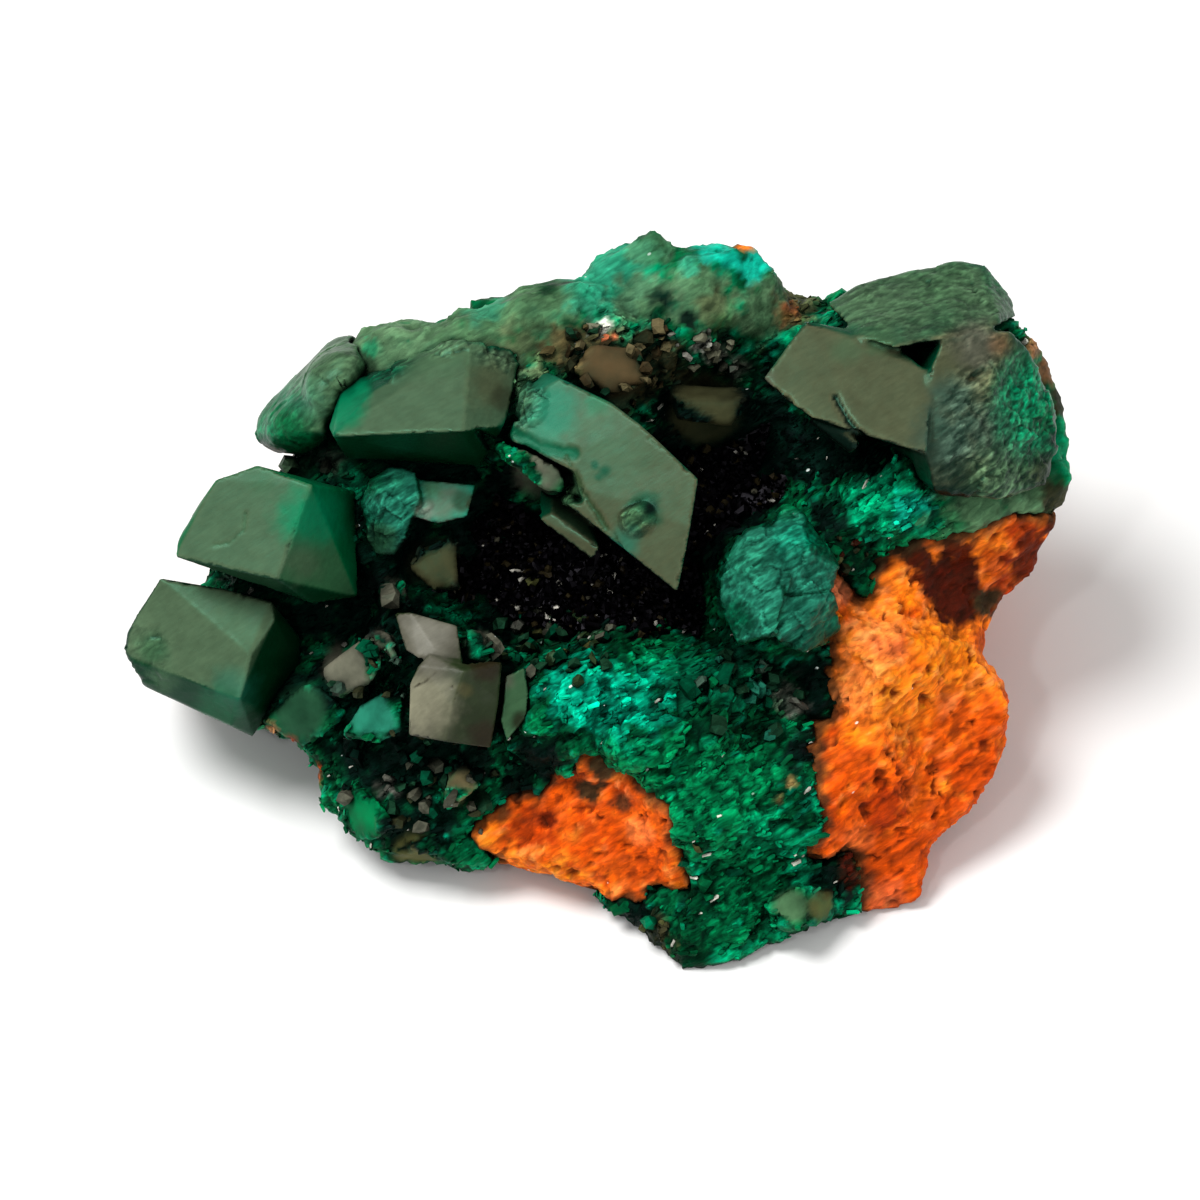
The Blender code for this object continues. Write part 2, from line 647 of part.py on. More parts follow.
def grown_star(obj, centre, gap, collection):
    """A copy whose points have moved straight away from the centre by the gap."""
    copy = new_object(obj.name + "_cutter", obj.data.copy(), collection)
    middle = Vector(centre) * MM
    for vert in copy.data.vertices:
        ray = vert.co - middle
        vert.co = middle + ray * (1 + gap * MM / ray.length)
    return copy


# Crystals


def hull_object(name, face_points, grow, collection):
    """The convex solid round some corners, grown about its middle to clear its neighbours."""
    bm = bmesh.new()
    for point in to_world(face_points) * MM:
        bm.verts.new(point)
    bmesh.ops.convex_hull(bm, input=bm.verts)
    loose = [v for v in bm.verts if not v.link_faces]
    bmesh.ops.delete(bm, geom=loose, context="VERTS")
    bmesh.ops.recalc_face_normals(bm, faces=bm.faces)
    if grow:
        middle = sum((v.co for v in bm.verts), Vector()) / len(bm.verts)
        nearest = min((f.verts[0].co - middle).dot(f.normal) for f in bm.faces)
        scale = 1 + grow * MM / max(nearest, 0.5 * MM)
        bmesh.ops.transform(
            bm, matrix=Matrix.Translation(middle) @ Matrix.Scale(scale, 4)
            @ Matrix.Translation(-middle), verts=bm.verts,
        )
    mesh = bpy.data.meshes.new(name)
    bm.to_mesh(mesh)
    bm.free()
    return new_object(name, mesh, collection)


def with_root(corners, depth, shrink, at=None):
    """Crystal corners together with the narrower root that they run back to."""
    outline = np.array(corners, float)[:, :2]
    middle = outline.mean(0)
    root = (middle if at is None else np.array(at)) + (outline - middle) * shrink
    return list(corners) + [(u, v, depth) for u, v in root]


def crystal_corners(crystal):
    corners = crystal["face"] + crystal["flank"]
    return with_root(corners, crystal["root"], LARGE_SHRINK, at=crystal.get("root_at"))


def six_sided_corners(across, height, heading, pitch, width, length):
    """Corners of a six-sided prism with a blunt three-faced point, growing out of the back."""
    inside = np.array([across, BACK_START, height])
    reach = skin_reach(np.array([[0.0, 1.0, 0.0]]), inside)[0]
    base = Vector(inside) + Vector((0, reach, 0))
    turn = Matrix.Rotation(math.radians(heading), 3, "Z")
    turn = turn @ Matrix.Rotation(math.radians(pitch), 3, "X")
    corners = []
    for i in range(6):
        angle = math.radians(60 * i + heading)
        side = Vector((math.cos(angle), 0, math.sin(angle))) * width / 2
        for along in (-BACK_ROOT, length * BACK_SHOULDERS[i % 2]):
            corners.append(base + turn @ (side + Vector((0, along, 0))))
    corners.append(base + turn @ Vector((0, length, 0)))
    return to_face([tuple(corner) for corner in corners])


def paint(obj):
    """Gives the object its finish."""
    finish = FINISH_OF.get(obj.name, "green_crystal")
    material = bpy.data.materials.get(finish) or bpy.data.materials.new(finish)
    red, green, blue, roughness = FINISHES[finish]
    material.use_nodes = True
    shader = material.node_tree.nodes["Principled BSDF"]
    shader.inputs["Base Color"].default_value = (red, green, blue, 1)
    shader.inputs["Roughness"].default_value = roughness
    obj.data.materials.clear()
    obj.data.materials.append(material)


def make_lump(parts, cutters):
    """The rock, the crust before the rock is cut out of it, the druse, and the first two's cutters."""
    centre = to_world([STAR_CENTRE])[0]
    bm, directions = star_directions(LUMP_SUBDIVISIONS)
    reach = skin_reach(directions, centre)
    skin = centre + directions * reach[:, None]
    broken = np.clip((BROKEN_FROM - to_face(skin)[:, 2]) / BROKEN_FADE, 0, 1)
    reach = reach + broken * (lumps(skin, *BROKEN_LUMPS) + grain(skin, *BROKEN_GRAIN))
    skin = centre + directions * reach[:, None]
    cover = np.clip(rock_cover(skin), -CRUST_SINK, CRUST_THICKNESS)
    covered = np.clip(cover, 0, None)
    rock_reach = reach + (drawn_in(reach, bm) - reach) * covered / CRUST_THICKNESS
    rock_reach = rock_reach - covered + grain(skin, *ROCK_GRAIN)
    crust_reach = reach - np.clip(-CRUST_BITE * cover, 0, CRUST_SINK)
    crust_reach = crust_reach + lumps(skin, *CRUST_LUMPS) + grain(skin, *CRUST_GRAIN)
    rock = star_object("rock_matrix", bm, directions, centre, rock_reach, parts)
    crust = star_object("dioptase_crust", bm, directions, centre, crust_reach, parts)
    bm.free()
    thin_out(rock, ROCK_TRIANGLES)
    thin_out(crust, CRUST_TRIANGLES)
    body_cutters = [grown_star(body, centre, SEAT_GAP, cutters) for body in (rock, crust)]
    return rock, crust, make_druse(centre, parts), body_cutters


def make_druse(centre, parts):
    """A thin bed of small crystal points that lines the hollow."""
    picker = random.Random(11)
    bm, directions = star_directions(DRUSE_SUBDIVISIONS)
    reach = skin_reach(directions, centre)
    skin = centre + directions * reach[:, None]
    within = outline_distance(to_face(skin)[:, :2], HOLLOW_OUTLINE) < 0
    upward = to_face(skin)[:, 2] > STAR_CENTRE[2]
    outside = [v for v, keep in zip(bm.verts, within & upward) if not keep]
    for vert, point, ray in zip(bm.verts, skin, directions):
        vert.co = (point - ray * DRUSE_BED) * MM
    bmesh.ops.delete(bm, geom=outside, context="VERTS")
    lone = [v for v in bm.verts if not v.link_faces]
    bmesh.ops.delete(bm, geom=lone, context="VERTS")
    middle = Vector(centre) * MM
    raised = bmesh.ops.extrude_face_region(bm, geom=bm.faces[:], use_keep_orig=True)
    for item in raised["geom"]:
        if isinstance(item, bmesh.types.BMVert):
            height = DRUSE_THICKNESS + DRUSE_HEIGHT * picker.random()
            item.co += (item.co - middle).normalized() * height * MM
    bmesh.ops.recalc_face_normals(bm, faces=bm.faces)
    mesh = bpy.data.meshes.new("hollow_druse")
    bm.to_mesh(mesh)
    bm.free()
    return new_object("hollow_druse", mesh, parts)


def make_small_crystals(cutters):
    """Every small crystal, and a slightly larger copy of each that cuts its neighbours."""
    solids, grown = [], []
    corners_of = {
        name: with_root(corners, SMALL_ROOT, SMALL_SHRINK)
        for name, corners in SMALL_CRYSTALS.items()
    }
    for number, measures in enumerate(BACK_CRYSTALS):
        corners_of[f"back_{number}"] = six_sided_corners(*measures)
    for name, corners in corners_of.items():
        solids.append(hull_object(name, corners, 0, cutters))
        grown.append(hull_object(name + "_cutter", corners, SEAT_GAP, cutters))
    return solids, grown


def make_large_crystals(parts, cutters, in_the_way):
    """Each large crystal or cluster, seated on whatever stands in its way."""
    made = []
    for name, members in LARGE_CRYSTALS.items():
        corners = [crystal_corners(member) for member in members]
        solid = hull_object(name, corners[0], 0, parts)
        for number, more in enumerate(corners[1:]):
            combine(solid, hull_object(f"{name}_{number}", more, 0, cutters), "UNION")
        for cutter in in_the_way:
            if boxes_meet(solid, cutter):
                combine(solid, cutter, "DIFFERENCE")
        keep_largest(solid)
        for number, points in enumerate(corners):
            in_the_way.append(
                hull_object(f"{name}_cutter_{number}", points, SEAT_GAP, cutters)
            )
        made.append(solid)
    return made


def main():
    for obj in list(bpy.data.objects):
        bpy.data.objects.remove(obj)
    parts = bpy.data.collections.new("dioptase_specimen")
    cutters = bpy.data.collections.new("cutters")
    bpy.context.scene.collection.children.link(parts)
    bpy.context.scene.collection.children.link(cutters)

    rock, crust, druse, body_cutters = make_lump(parts, cutters)
    small, small_cutters = make_small_crystals(cutters)
    in_the_way = body_cutters + small_cutters
    large = make_large_crystals(parts, cutters, in_the_way)

    for crystal in small:
        combine(crust, crystal, "UNION")
    combine(crust, body_cutters[0], "DIFFERENCE")
    for cutter in in_the_way:
        if boxes_meet(druse, cutter):
            combine(druse, cutter, "DIFFERENCE")
    keep_largest(crust)
    keep_largest(druse)
    cut_flat(rock, 0)
    cut_flat(crust, SEAT_GAP)
    keep_largest(crust)

    pieces = [rock, crust, druse, *large]
    for obj in cutters.objects:
        obj.hide_render = True
        obj.display_type = "WIRE"
    corners = np.array([v.co for obj in pieces for v in obj.data.vertices])
    middle = (corners.min(0) + corners.max(0)) / 2
    specimen = bpy.data.objects.new("specimen", None)
    specimen.location = (-middle[0], -middle[1], 0)
    parts.objects.link(specimen)
    for obj in pieces:
        paint(obj)
        obj.parent = specimen


main()
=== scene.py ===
import math

import bmesh
import bpy
import numpy as np
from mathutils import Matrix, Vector, noise
from mathutils.bvhtree import BVHTree


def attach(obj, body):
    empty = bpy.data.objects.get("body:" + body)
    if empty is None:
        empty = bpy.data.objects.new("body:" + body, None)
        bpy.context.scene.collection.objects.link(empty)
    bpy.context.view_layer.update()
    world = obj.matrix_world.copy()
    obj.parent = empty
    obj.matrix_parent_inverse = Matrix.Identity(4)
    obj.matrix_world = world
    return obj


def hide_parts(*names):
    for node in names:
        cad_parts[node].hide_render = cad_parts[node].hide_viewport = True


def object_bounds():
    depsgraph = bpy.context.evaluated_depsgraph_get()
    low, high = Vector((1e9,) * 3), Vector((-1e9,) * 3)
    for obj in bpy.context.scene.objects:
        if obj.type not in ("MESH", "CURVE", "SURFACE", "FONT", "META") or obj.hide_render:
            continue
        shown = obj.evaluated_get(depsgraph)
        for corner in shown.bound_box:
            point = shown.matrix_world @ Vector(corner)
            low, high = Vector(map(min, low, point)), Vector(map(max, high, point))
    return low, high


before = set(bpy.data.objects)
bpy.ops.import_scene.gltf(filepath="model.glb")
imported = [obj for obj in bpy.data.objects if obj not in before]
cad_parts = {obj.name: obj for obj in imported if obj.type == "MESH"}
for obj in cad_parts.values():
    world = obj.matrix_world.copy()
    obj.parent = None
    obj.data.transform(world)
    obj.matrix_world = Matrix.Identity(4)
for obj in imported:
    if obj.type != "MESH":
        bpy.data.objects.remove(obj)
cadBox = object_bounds()
boxLow, boxHigh = np.array(cadBox[0]), np.array(cadBox[1])

mm = 0.001  # in metres

# The crystal side leans back. Marks are placed in its own frame, in mm: u right, v up, w out of it.
crystalSide = {
    "tilt": 50.0,
    "middle": (0.15, -5.97, 15.6),
    "streakTurn": 32.0,  # the growth lines run up to the right by this much
}
tilt, streakTurn = math.radians(crystalSide["tilt"]), math.radians(crystalSide["streakTurn"])
sinTilt, cosTilt = math.sin(tilt), math.cos(tilt)
sinTurn, cosTurn = math.sin(streakTurn), math.cos(streakTurn)
towardsViewer = np.array([0, -cosTilt, sinTilt])
streakWay = np.array([cosTurn, sinTurn * sinTilt, sinTurn * cosTilt])  # the growth lines, in space


def turnToSide(vectors):
    x, y, z = np.asarray(vectors, float).T
    return np.stack([x, y * sinTilt + z * cosTilt, z * sinTilt - y * cosTilt], axis=1)


# Points in metres as (u, v, w) in mm
def toSide(points):
    return turnToSide(np.asarray(points, float) / mm - crystalSide["middle"])


# The side's points in mm, turned so that the first runs with the growth lines
def alongStreaks(side):
    u, v, w = side.T
    return np.stack([u * cosTurn + v * sinTurn, v * cosTurn - u * sinTurn, w], axis=1)


# Colours as they look, red, green and blue from 0 to 255
palette = {
    "ink": (4, 3, 5),
    "deepGreen": (0, 44, 20),
    "bottle": (0, 72, 46),
    "pine": (0, 88, 48),
    "leaf": (0, 104, 58),
    "emerald": (0, 136, 90),
    "teal": (0, 150, 116),
    "turquoise": (10, 172, 144),
    "seaGreen": (40, 136, 104),
    "verdigris": (36, 118, 94),
    "moss": (78, 108, 76),
    "sage": (70, 104, 70),
    "slate": (30, 66, 44),
    "slateGrey": (66, 88, 74),
    "faceGreen": (84, 106, 78),
    "faceOlive": (90, 92, 66),
    "oliveDark": (44, 58, 32),
    "khaki": (84, 82, 44),
    "brown": (84, 72, 44),
    "umber": (44, 38, 22),
    "umberGrey": (56, 54, 34),
    "umberBrown": (70, 54, 34),
    "stone": (96, 94, 80),
    "grey": (112, 110, 100),
    "paleGrey": (128, 126, 112),
    "cream": (142, 140, 116),
    "sand": (110, 98, 68),
    "tan": (150, 120, 70),
    "clay": (128, 84, 54),
    "white": (226, 222, 208),
    "orange": (255, 124, 26),
    "amber": (250, 124, 8),
    "apricot": (255, 150, 84),
    "salmon": (240, 132, 86),
    "deepOrange": (206, 70, 0),
    "rust": (160, 44, 0),
    "darkRed": (60, 8, 2),
}


# The palette's colour as light
def asLinear(name):
    values = np.array(palette[name]) / 255
    return np.where(values < 0.04045, values / 12.92, ((values + 0.055) / 1.055) ** 2.4)


# Patterns in space. Sizes and heights are in mm.


def fractal(points, size, seed, octaves=3):
    shift = Vector((seed, 1.7 * seed, 2.3 * seed))
    return np.array([noise.fractal(Vector(p) / size + shift, 1.0, 2.0, octaves) for p in points])


# Small flat facets, each leaning its own way, as heights
def facetBumps(points, size, lean, seed):
    heights = np.empty(len(points))
    half = Vector((0.5, 0.5, 0.5))
    for i, point in enumerate(points / size + seed):
        centre = noise.voronoi(Vector(point))[1][0]
        turn = noise.cell_vector(centre * 31.7) - half
        heights[i] = 2 * turn.dot(Vector(point) - centre) + 0.5 * turn.x
    return heights * size * lean


def streakLines(side, length, width, seed, octaves=3):
    return fractal(alongStreaks(side) / (length, width, width), 1.0, seed, octaves)


def smoothStep(low, high, values):
    share = np.clip((values - low) / (high - low), 0, 1)
    return share * share * (3 - 2 * share)


# Meshes


def addObject(name, data):
    piece = bpy.data.objects.new(name, data)
    bpy.context.scene.collection.objects.link(piece)
    return piece


# Numbers the faces of each flat area, and gives the areas in square mm
def flatGroups(bm):
    group = np.full(len(bm.faces), -1)
    areas = []
    for start in bm.faces:
        if group[start.index] >= 0:
            continue
        number, area, waiting = len(areas), 0.0, [start]
        group[start.index] = number
        while waiting:
            face = waiting.pop()
            area += face.calc_area()
            for other in (o for edge in face.edges for o in edge.link_faces):
                if group[other.index] < 0 and other.normal.dot(start.normal) > 0.9995:
                    group[other.index] = number
                    waiting.append(other)
        areas.append(area)
    return group, np.array(areas) / mm**2


def readPoints(mesh, name="co"):
    values = np.empty(len(mesh.vertices) * 3)
    mesh.vertices.foreach_get(name, values)
    return values.reshape(-1, 3)


# A finely and evenly meshed copy of a node, with what is known of each of its points
class FineMesh:
    def __init__(self, name, node, voxel, leastFacet):
        bm = bmesh.new()
        bm.from_mesh(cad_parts[node].data)
        bmesh.ops.remove_doubles(bm, verts=bm.verts, dist=0.000002)
        bm.faces.ensure_lookup_table()
        bm.normal_update()
        group, areas = flatGroups(bm)
        tree = BVHTree.FromBMesh(bm)
        coarse = bpy.data.meshes.new(name + "_coarse")
        bm.to_mesh(coarse)
        bm.free()
        self.name, self.node = name, node
        self.piece = addObject(name, coarse)
        remesh = self.piece.modifiers.new("fine", "REMESH")
        remesh.mode = "VOXEL"
        remesh.voxel_size = voxel * mm
        graph = bpy.context.evaluated_depsgraph_get()
        self.mesh = bpy.data.meshes.new_from_object(self.piece.evaluated_get(graph))
        self.mesh.name = name
        self.piece.modifiers.clear()
        self.piece.data = self.mesh
        bpy.data.meshes.remove(coarse)
        self.points = readPoints(self.mesh)
        self.normals = readPoints(self.mesh, "normal")
        self.edges = np.empty(len(self.mesh.edges) * 2, int)
        self.mesh.edges.foreach_get("vertices", self.edges)
        self.edges = self.edges.reshape(-1, 2)
        nearest = [tree.find_nearest(Vector(p))[2] for p in self.points]
        onFacet = (areas[group[nearest]] > leastFacet).astype(float)
        self.clean = smoothStep(0.3, 0.9, self.softened(onFacet, 1))
        self.measure()

    def measure(self):
        self.inMm = self.points / mm
        self.side = toSide(self.points)
        self.lean = turnToSide(self.normals)
        self.front = smoothStep(-0.5, 0.1, self.lean[:, 2])

    # Averages a value over neighbouring points
    def softened(self, values, rounds):
        ends = self.edges.T
        count = np.bincount(self.edges.ravel(), minlength=len(values)) + 1
        for _ in range(rounds):
            total = values + np.bincount(ends[0], values[ends[1]], len(values))
            values = (total + np.bincount(ends[1], values[ends[0]], len(values))) / count
        return values

    # Wears the shape's edges down where share is high
    def roundOff(self, share, rounds):
        moved = np.stack([self.softened(c, rounds) for c in self.points.T], axis=1)
        self.points = self.points + (moved - self.points) * share[:, None]
        self.store()

    def pushOut(self, heights):
        self.points = self.points + self.normals * heights[:, None] * mm
        self.store()

    # Writes the points to the mesh, held inside the solid model's box
    def store(self):
        self.points = np.clip(self.points, boxLow, boxHigh)
        self.mesh.vertices.foreach_set("co", self.points.ravel())
        self.mesh.update()
        self.normals = readPoints(self.mesh, "normal")
        self.measure()

    # How far each point stands over its neighbours: positive on ridges, negative in cracks
    def crest(self):
        near = np.stack([self.softened(c, 2) for c in self.inMm.T], axis=1)
        return ((self.inMm - near) * self.normals).sum(1)

    def finish(self, colours, grainy, material, slotName):
        paintTint(self.mesh, colours, grainy, self.side)
        self.mesh.materials.clear()
        self.mesh.materials.append(material)
        self.mesh.shade_smooth()
        seat(self.piece, self.node)


# Stores each point's colour, how granular it is, and its place along the growth lines
def paintTint(mesh, colours, grainy, side):
    tint = mesh.color_attributes.new("tint", "FLOAT_COLOR", "POINT")
    tint.data.foreach_set("color", np.c_[np.clip(colours, 0, 1), grainy].ravel())
    place = mesh.attributes.new("place", "FLOAT_VECTOR", "POINT")
    place.data.foreach_set("vector", alongStreaks(side).ravel())


def seat(piece, node):
    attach(piece, "root")
    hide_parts(node)
    print(piece.name, len(piece.data.polygons), "faces")


def blendTo(colours, name, share):
    share = np.clip(share, 0, 1)
    if asLinear(name).max() < 0.07:  # dark paint covers sooner
        share = 1 - (1 - share) ** 2.2
    return colours + (asLinear(name) - colours) * share[:, None]


# Spots of colour on the crystal side: u, v, radius, colour, strength. "ragged" breaks up their edges,
# and "full" is the part of the radius that is covered whole.
def paintSpots(colours, fine, spots, ragged, full=0.7):
    edge = ragged * fractal(fine.inMm, 0.8, 81.0)
    for u, v, radius, name, strength in spots:
        distance = np.hypot(fine.side[:, 0] - u, fine.side[:, 1] - v) / radius
        share = strength * smoothStep(2.2 - full, full, distance + edge)
        colours = blendTo(colours, name, share * smoothStep(-15, -13, fine.side[:, 2]) * fine.front)
    return colours


# A soft mask of discs on the crystal side: u, v, radius, and a strength where it is under 1
def disc(fine, spots):
    mask = np.zeros(len(fine.points))
    for u, v, radius, *given in spots:
        strength = given[0] if given else 1
        distance = np.hypot(fine.side[:, 0] - u, fine.side[:, 1] - v) / radius
        mask = np.maximum(mask, strength * smoothStep(1.2, 0.7, distance))
    return mask


# Patches of colour all over a piece: colour, size, seed, where they begin and are full, strength
def paintPatches(colours, fine, patches):
    for name, size, seed, low, high, strength in patches:
        share = strength * smoothStep(low, high, fractal(fine.inMm, size, seed))
        colours = blendTo(colours, name, share)
    return colours


# Distance in mm of the side's points from a line through the corners
def lineDistance(side, corners):
    flat = side[:, :2]
    nearest = np.full(len(flat), 1e9)
    for start, end in zip(np.array(corners[:-1], float), np.array(corners[1:], float)):
        way = end - start
        share = np.clip(((flat - start) @ way) / (way @ way), 0, 1)
        nearest = np.minimum(nearest, np.hypot(*(flat - start - share[:, None] * way).T))
    return nearest


# Cracks and steps in the crystals: the line, its width and depth, colour and strength. Their darker
# colours are painted shade in the cracks.
cracks = [
    ([(-5.9, 10.8), (-3.9, 9.5), (-1.7, 9.1)], 0.6, 0.12, "bottle", 1),
    ([(-2.1, 8.9), (-1, 6.7), (0.5, 4.3), (1.6, 3.1)], 0.24, 0.15, "oliveDark", 0.9),
    ([(-8.3, 15.6), (-8.3, 10.6)], 0.12, 0.06, "moss", 0.4),
    ([(14.6, 12.6), (15.4, 11.2), (16.6, 9.6)], 0.3, 0.35, "ink", 1),
    ([(22.2, 13.3), (23.8, 14.2), (25.4, 15.4)], 0.35, 0.35, "umber", 0.9),
    ([(-11.7, -5.5), (-11, -5.2), (-10.2, -4.6), (-9.6, -4.9), (-9.1, -4.2)], 0.12, 0.15, "umber", 0.9),
    ([(-11.4, -6.2), (-10, -5.9), (-9.2, -5.4)], 0.1, 0.12, "umber", 0.7),
    ([(-24.2, 3.4), (-23.1, 3.6), (-22.2, 4.4), (-22.1, 5.4)], 0.14, 0.1, "sage", 0.5),
    ([(-26.2, 1.9), (-22.5, 1.2), (-18.8, 0)], 0.2, 0.2, "ink", 0.6),
    ([(-14.6, 2.5), (-14.2, 5)], 0.2, 0.2, "ink", 0.6),
    ([(10.6, 3.4), (11.6, 0), (10.9, -2.5)], 0.25, 0.35, "deepGreen", 0.8),
    ([(11.6, 0.3), (14.7, 0.6)], 0.2, 0.3, "deepGreen", 0.8),
    ([(3, 10), (5.6, 8.1)], 0.1, 0.08, "sage", 0.4),
]


def carveCracks(fine, colours):
    wobble = 0.12 * fractal(fine.inMm, 0.7, 7.0)
    broken = smoothStep(-0.25, 0.2, fractal(fine.inMm, 1.4, 63.0))
    depth = np.zeros(len(fine.points))
    for corners, width, deep, name, strength in cracks:
        near = smoothStep(width, 0.3 * width, lineDistance(fine.side, corners) + wobble)
        near = near * fine.front * (broken if strength < 1 else 1)
        depth = np.maximum(depth, near * deep * 0.6)
        # Painted shade: the crack's colour is laid along it, the darker ones standing in for the shade
        # inside
        colours = blendTo(colours, name, near * strength * 0.7)
    fine.pushOut(-depth)
    return colours


# Materials


# A mineral's surface: painted tint, grains of their own brightness, streaks, painted glints, painted
# shade in crevices and gloss
def mineralMaterial(name, look):
    material = bpy.data.materials.new(name)
    material.use_nodes = True
    tree = material.node_tree
    shader = tree.nodes["Principled BSDF"]

    def add(kind, **settings):
        node = tree.nodes.new(kind)
        for key, value in settings.items():
            setattr(node, key, value)
        return node

    def plug(node, **inputs):
        for key, value in inputs.items():
            socket = node.inputs[key.replace("_", " ")]
            if isinstance(value, bpy.types.NodeSocket):
                tree.links.new(value, socket)
            else:
                socket.default_value = value
        return node

    place = add("ShaderNodeAttribute", attribute_name="place").outputs["Vector"]

    def stretched(long):
        return plug(add("ShaderNodeMapping"), Vector=place, Scale=(1 / long, 1, 1)).outputs[0]

    def noiseOf(size, detail, long=1.0):
        texture = plug(add("ShaderNodeTexNoise"), Vector=stretched(long), Scale=1 / size, Detail=detail)
        return texture.outputs["Fac"]

    def between(value, low, high, fromLow=0.3, fromHigh=0.7):
        node = plug(add("ShaderNodeMapRange"), Value=value, From_Min=fromLow, From_Max=fromHigh)
        return plug(node, To_Min=low, To_Max=high).outputs["Result"]

    def times(colour, value):
        node = add("ShaderNodeMix", data_type="RGBA", blend_type="MULTIPLY")
        node.inputs["Factor"].default_value = 1.0
        tree.links.new(colour, node.inputs[6])
        tree.links.new(value, node.inputs[7])
        return node.outputs[2]

    def maths(operation, *values):
        node = add("ShaderNodeMath", operation=operation)
        for socket, value in zip(node.inputs, values):
            if isinstance(value, bpy.types.NodeSocket):
                tree.links.new(value, socket)
            else:
                socket.default_value = value
        return node.outputs[0]

    def whereGrainy(value):
        return maths("MULTIPLY_ADD", maths("SUBTRACT", value, 1.0), grainy, 1.0)

    tint = add("ShaderNodeAttribute", attribute_name="tint")
    colour, grainy = tint.outputs["Color"], tint.outputs["Alpha"]
    colour = times(colour, between(noiseOf(look["mottleSize"], 5), *look["mottle"]))
    grains = plug(
        add("ShaderNodeTexVoronoi"), Vector=stretched(look["grainLong"]), Scale=1 / look["grainSize"]
    )
    parts = plug(add("ShaderNodeSeparateColor"), Color=grains.outputs["Color"])
    colour = times(colour, whereGrainy(between(parts.outputs["Red"], *look["grainShade"], 0, 1)))
    lines = noiseOf(look["streakSize"], 4, look["streakLong"])
    colour = times(colour, whereGrainy(between(lines, *look["streak"], 0.36, 0.66)))
    # Painted shade: the colour is darkened where nearby surfaces hem it in, most in crevices and hollows
    occlusion = plug(add("ShaderNodeAmbientOcclusion", samples=4), Distance=look["shadeReach"] * mm)
    paintedCreviceShade = between(occlusion.outputs["AO"], look["deepShade"], 1.0, look["shadeFrom"], 0.85)
    colour = times(colour, paintedCreviceShade)
    # Painted glints: a rare grain here and there is painted a light colour, standing in for a highlight
    if look["paintedGlint"]:
        points = plug(add("ShaderNodeTexVoronoi"), Vector=stretched(1.6), Scale=1 / look["paintedGlintSize"])
        chosen = plug(add("ShaderNodeSeparateColor"), Color=points.outputs["Color"])
        rare = between(chosen.outputs["Green"], 0, 1, 1 - look["paintedGlint"], 1.001 - look["paintedGlint"])
        close = between(points.outputs["Distance"], 1, 0, 0.2, 0.32)
        mix = add("ShaderNodeMix", data_type="RGBA")
        both = maths("MULTIPLY", maths("MULTIPLY", rare, close), grainy)
        tree.links.new(both, mix.inputs["Factor"])
        tree.links.new(colour, mix.inputs[6])
        mix.inputs[7].default_value = (*look["paintedGlintColour"], 1)
        colour = mix.outputs[2]
    rough = between(noiseOf(look["mottleSize"] / 2, 4), *look["roughness"])
    grainHeight = between(parts.outputs["Blue"], 0, 1, 0, 1)
    fineHeight = noiseOf(look["bumpSize"], 5, look["grainLong"])
    total = maths("MULTIPLY_ADD", grainHeight, look["grainStep"], fineHeight)
    total = maths("MULTIPLY", maths("ADD", total, lines), grainy)
    bump = plug(add("ShaderNodeBump"), Height=total, Strength=look["bump"])
    bump.inputs["Distance"].default_value = look["bumpDepth"] * mm
    plug(shader, Base_Color=colour, Roughness=rough, Normal=bump.outputs["Normal"])
    plug(shader, IOR=look["ior"], Specular_IOR_Level=look["specular"])
    plug(shader, Specular_Tint=(*look["specularTint"], 1))
    plug(shader, Coat_Weight=look["coat"], Coat_Roughness=0.15)
    return material


baseLook = {
    "mottle": (0.72, 1.25),
    "mottleSize": 1.6,
    "grainShade": (0.6, 1.4),
    "grainSize": 0.3,
    "grainLong": 2.2,
    "grainStep": 0.5,
    "streak": (0.55, 1.6),
    "streakSize": 0.25,
    "streakLong": 6.0,
    "shadeReach": 2.4,
    "shadeFrom": 0.3,
    "deepShade": 0.02,
    "paintedGlint": 0.0,
    "paintedGlintSize": 0.3,
    "paintedGlintColour": (0.8, 0.9, 0.85),
    "roughness": (0.35, 0.6),
    "ior": 1.6,
    "specular": 0.2,
    "specularTint": (0.1, 1.0, 0.6),
    "coat": 0.0,
    "bump": 0.6,
    "bumpSize": 0.3,
    "bumpDepth": 0.12,
}
crustMaterial = mineralMaterial("granularGreen", {
    **baseLook,
    "mottle": (0.6, 1.4),
    "shadeReach": 4,
    "shadeFrom": 0.33,
    "specular": 0.08,
    "roughness": (0.45, 0.7),
    "paintedGlint": 0.003,
    "bump": 0.8,
})
rockMaterial = mineralMaterial("orangeRock", {
    **baseLook,
    "mottle": (0.75, 1.2),
    "grainShade": (0.8, 1.2),
    "grainLong": 2.5,
    "streak": (0.8, 1.2),
    "shadeFrom": 0.1,
    "deepShade": 0.2,
    "paintedGlint": 0.003,
    "paintedGlintColour": (1.0, 0.75, 0.6),
    "roughness": (0.7, 0.95),
    "specularTint": (1.0, 0.6, 0.35),
    "bump": 0.7,
})
crystalMaterial = mineralMaterial("greenCrystal", {
    **baseLook,
    "mottle": (0.9, 1.1),
    "shadeReach": 3.0,
    "shadeFrom": 0.15,
    "roughness": (0.3, 0.45),
    "specular": 0.14,
    "specularTint": (0.15, 1.0, 0.6),
    "coat": 0.03,
})
tealMaterial = mineralMaterial("tealCrystal", {
    **baseLook,
    "paintedGlint": 0.004,
    "roughness": (0.3, 0.5),
})
paleMaterial = mineralMaterial("paleCrystal", {
    **baseLook,
    "mottle": (0.85, 1.12),
    "roughness": (0.3, 0.45),
    "specular": 0.1,
    "specularTint": (1.0, 1.0, 0.9),
    "coat": 0.02,
})
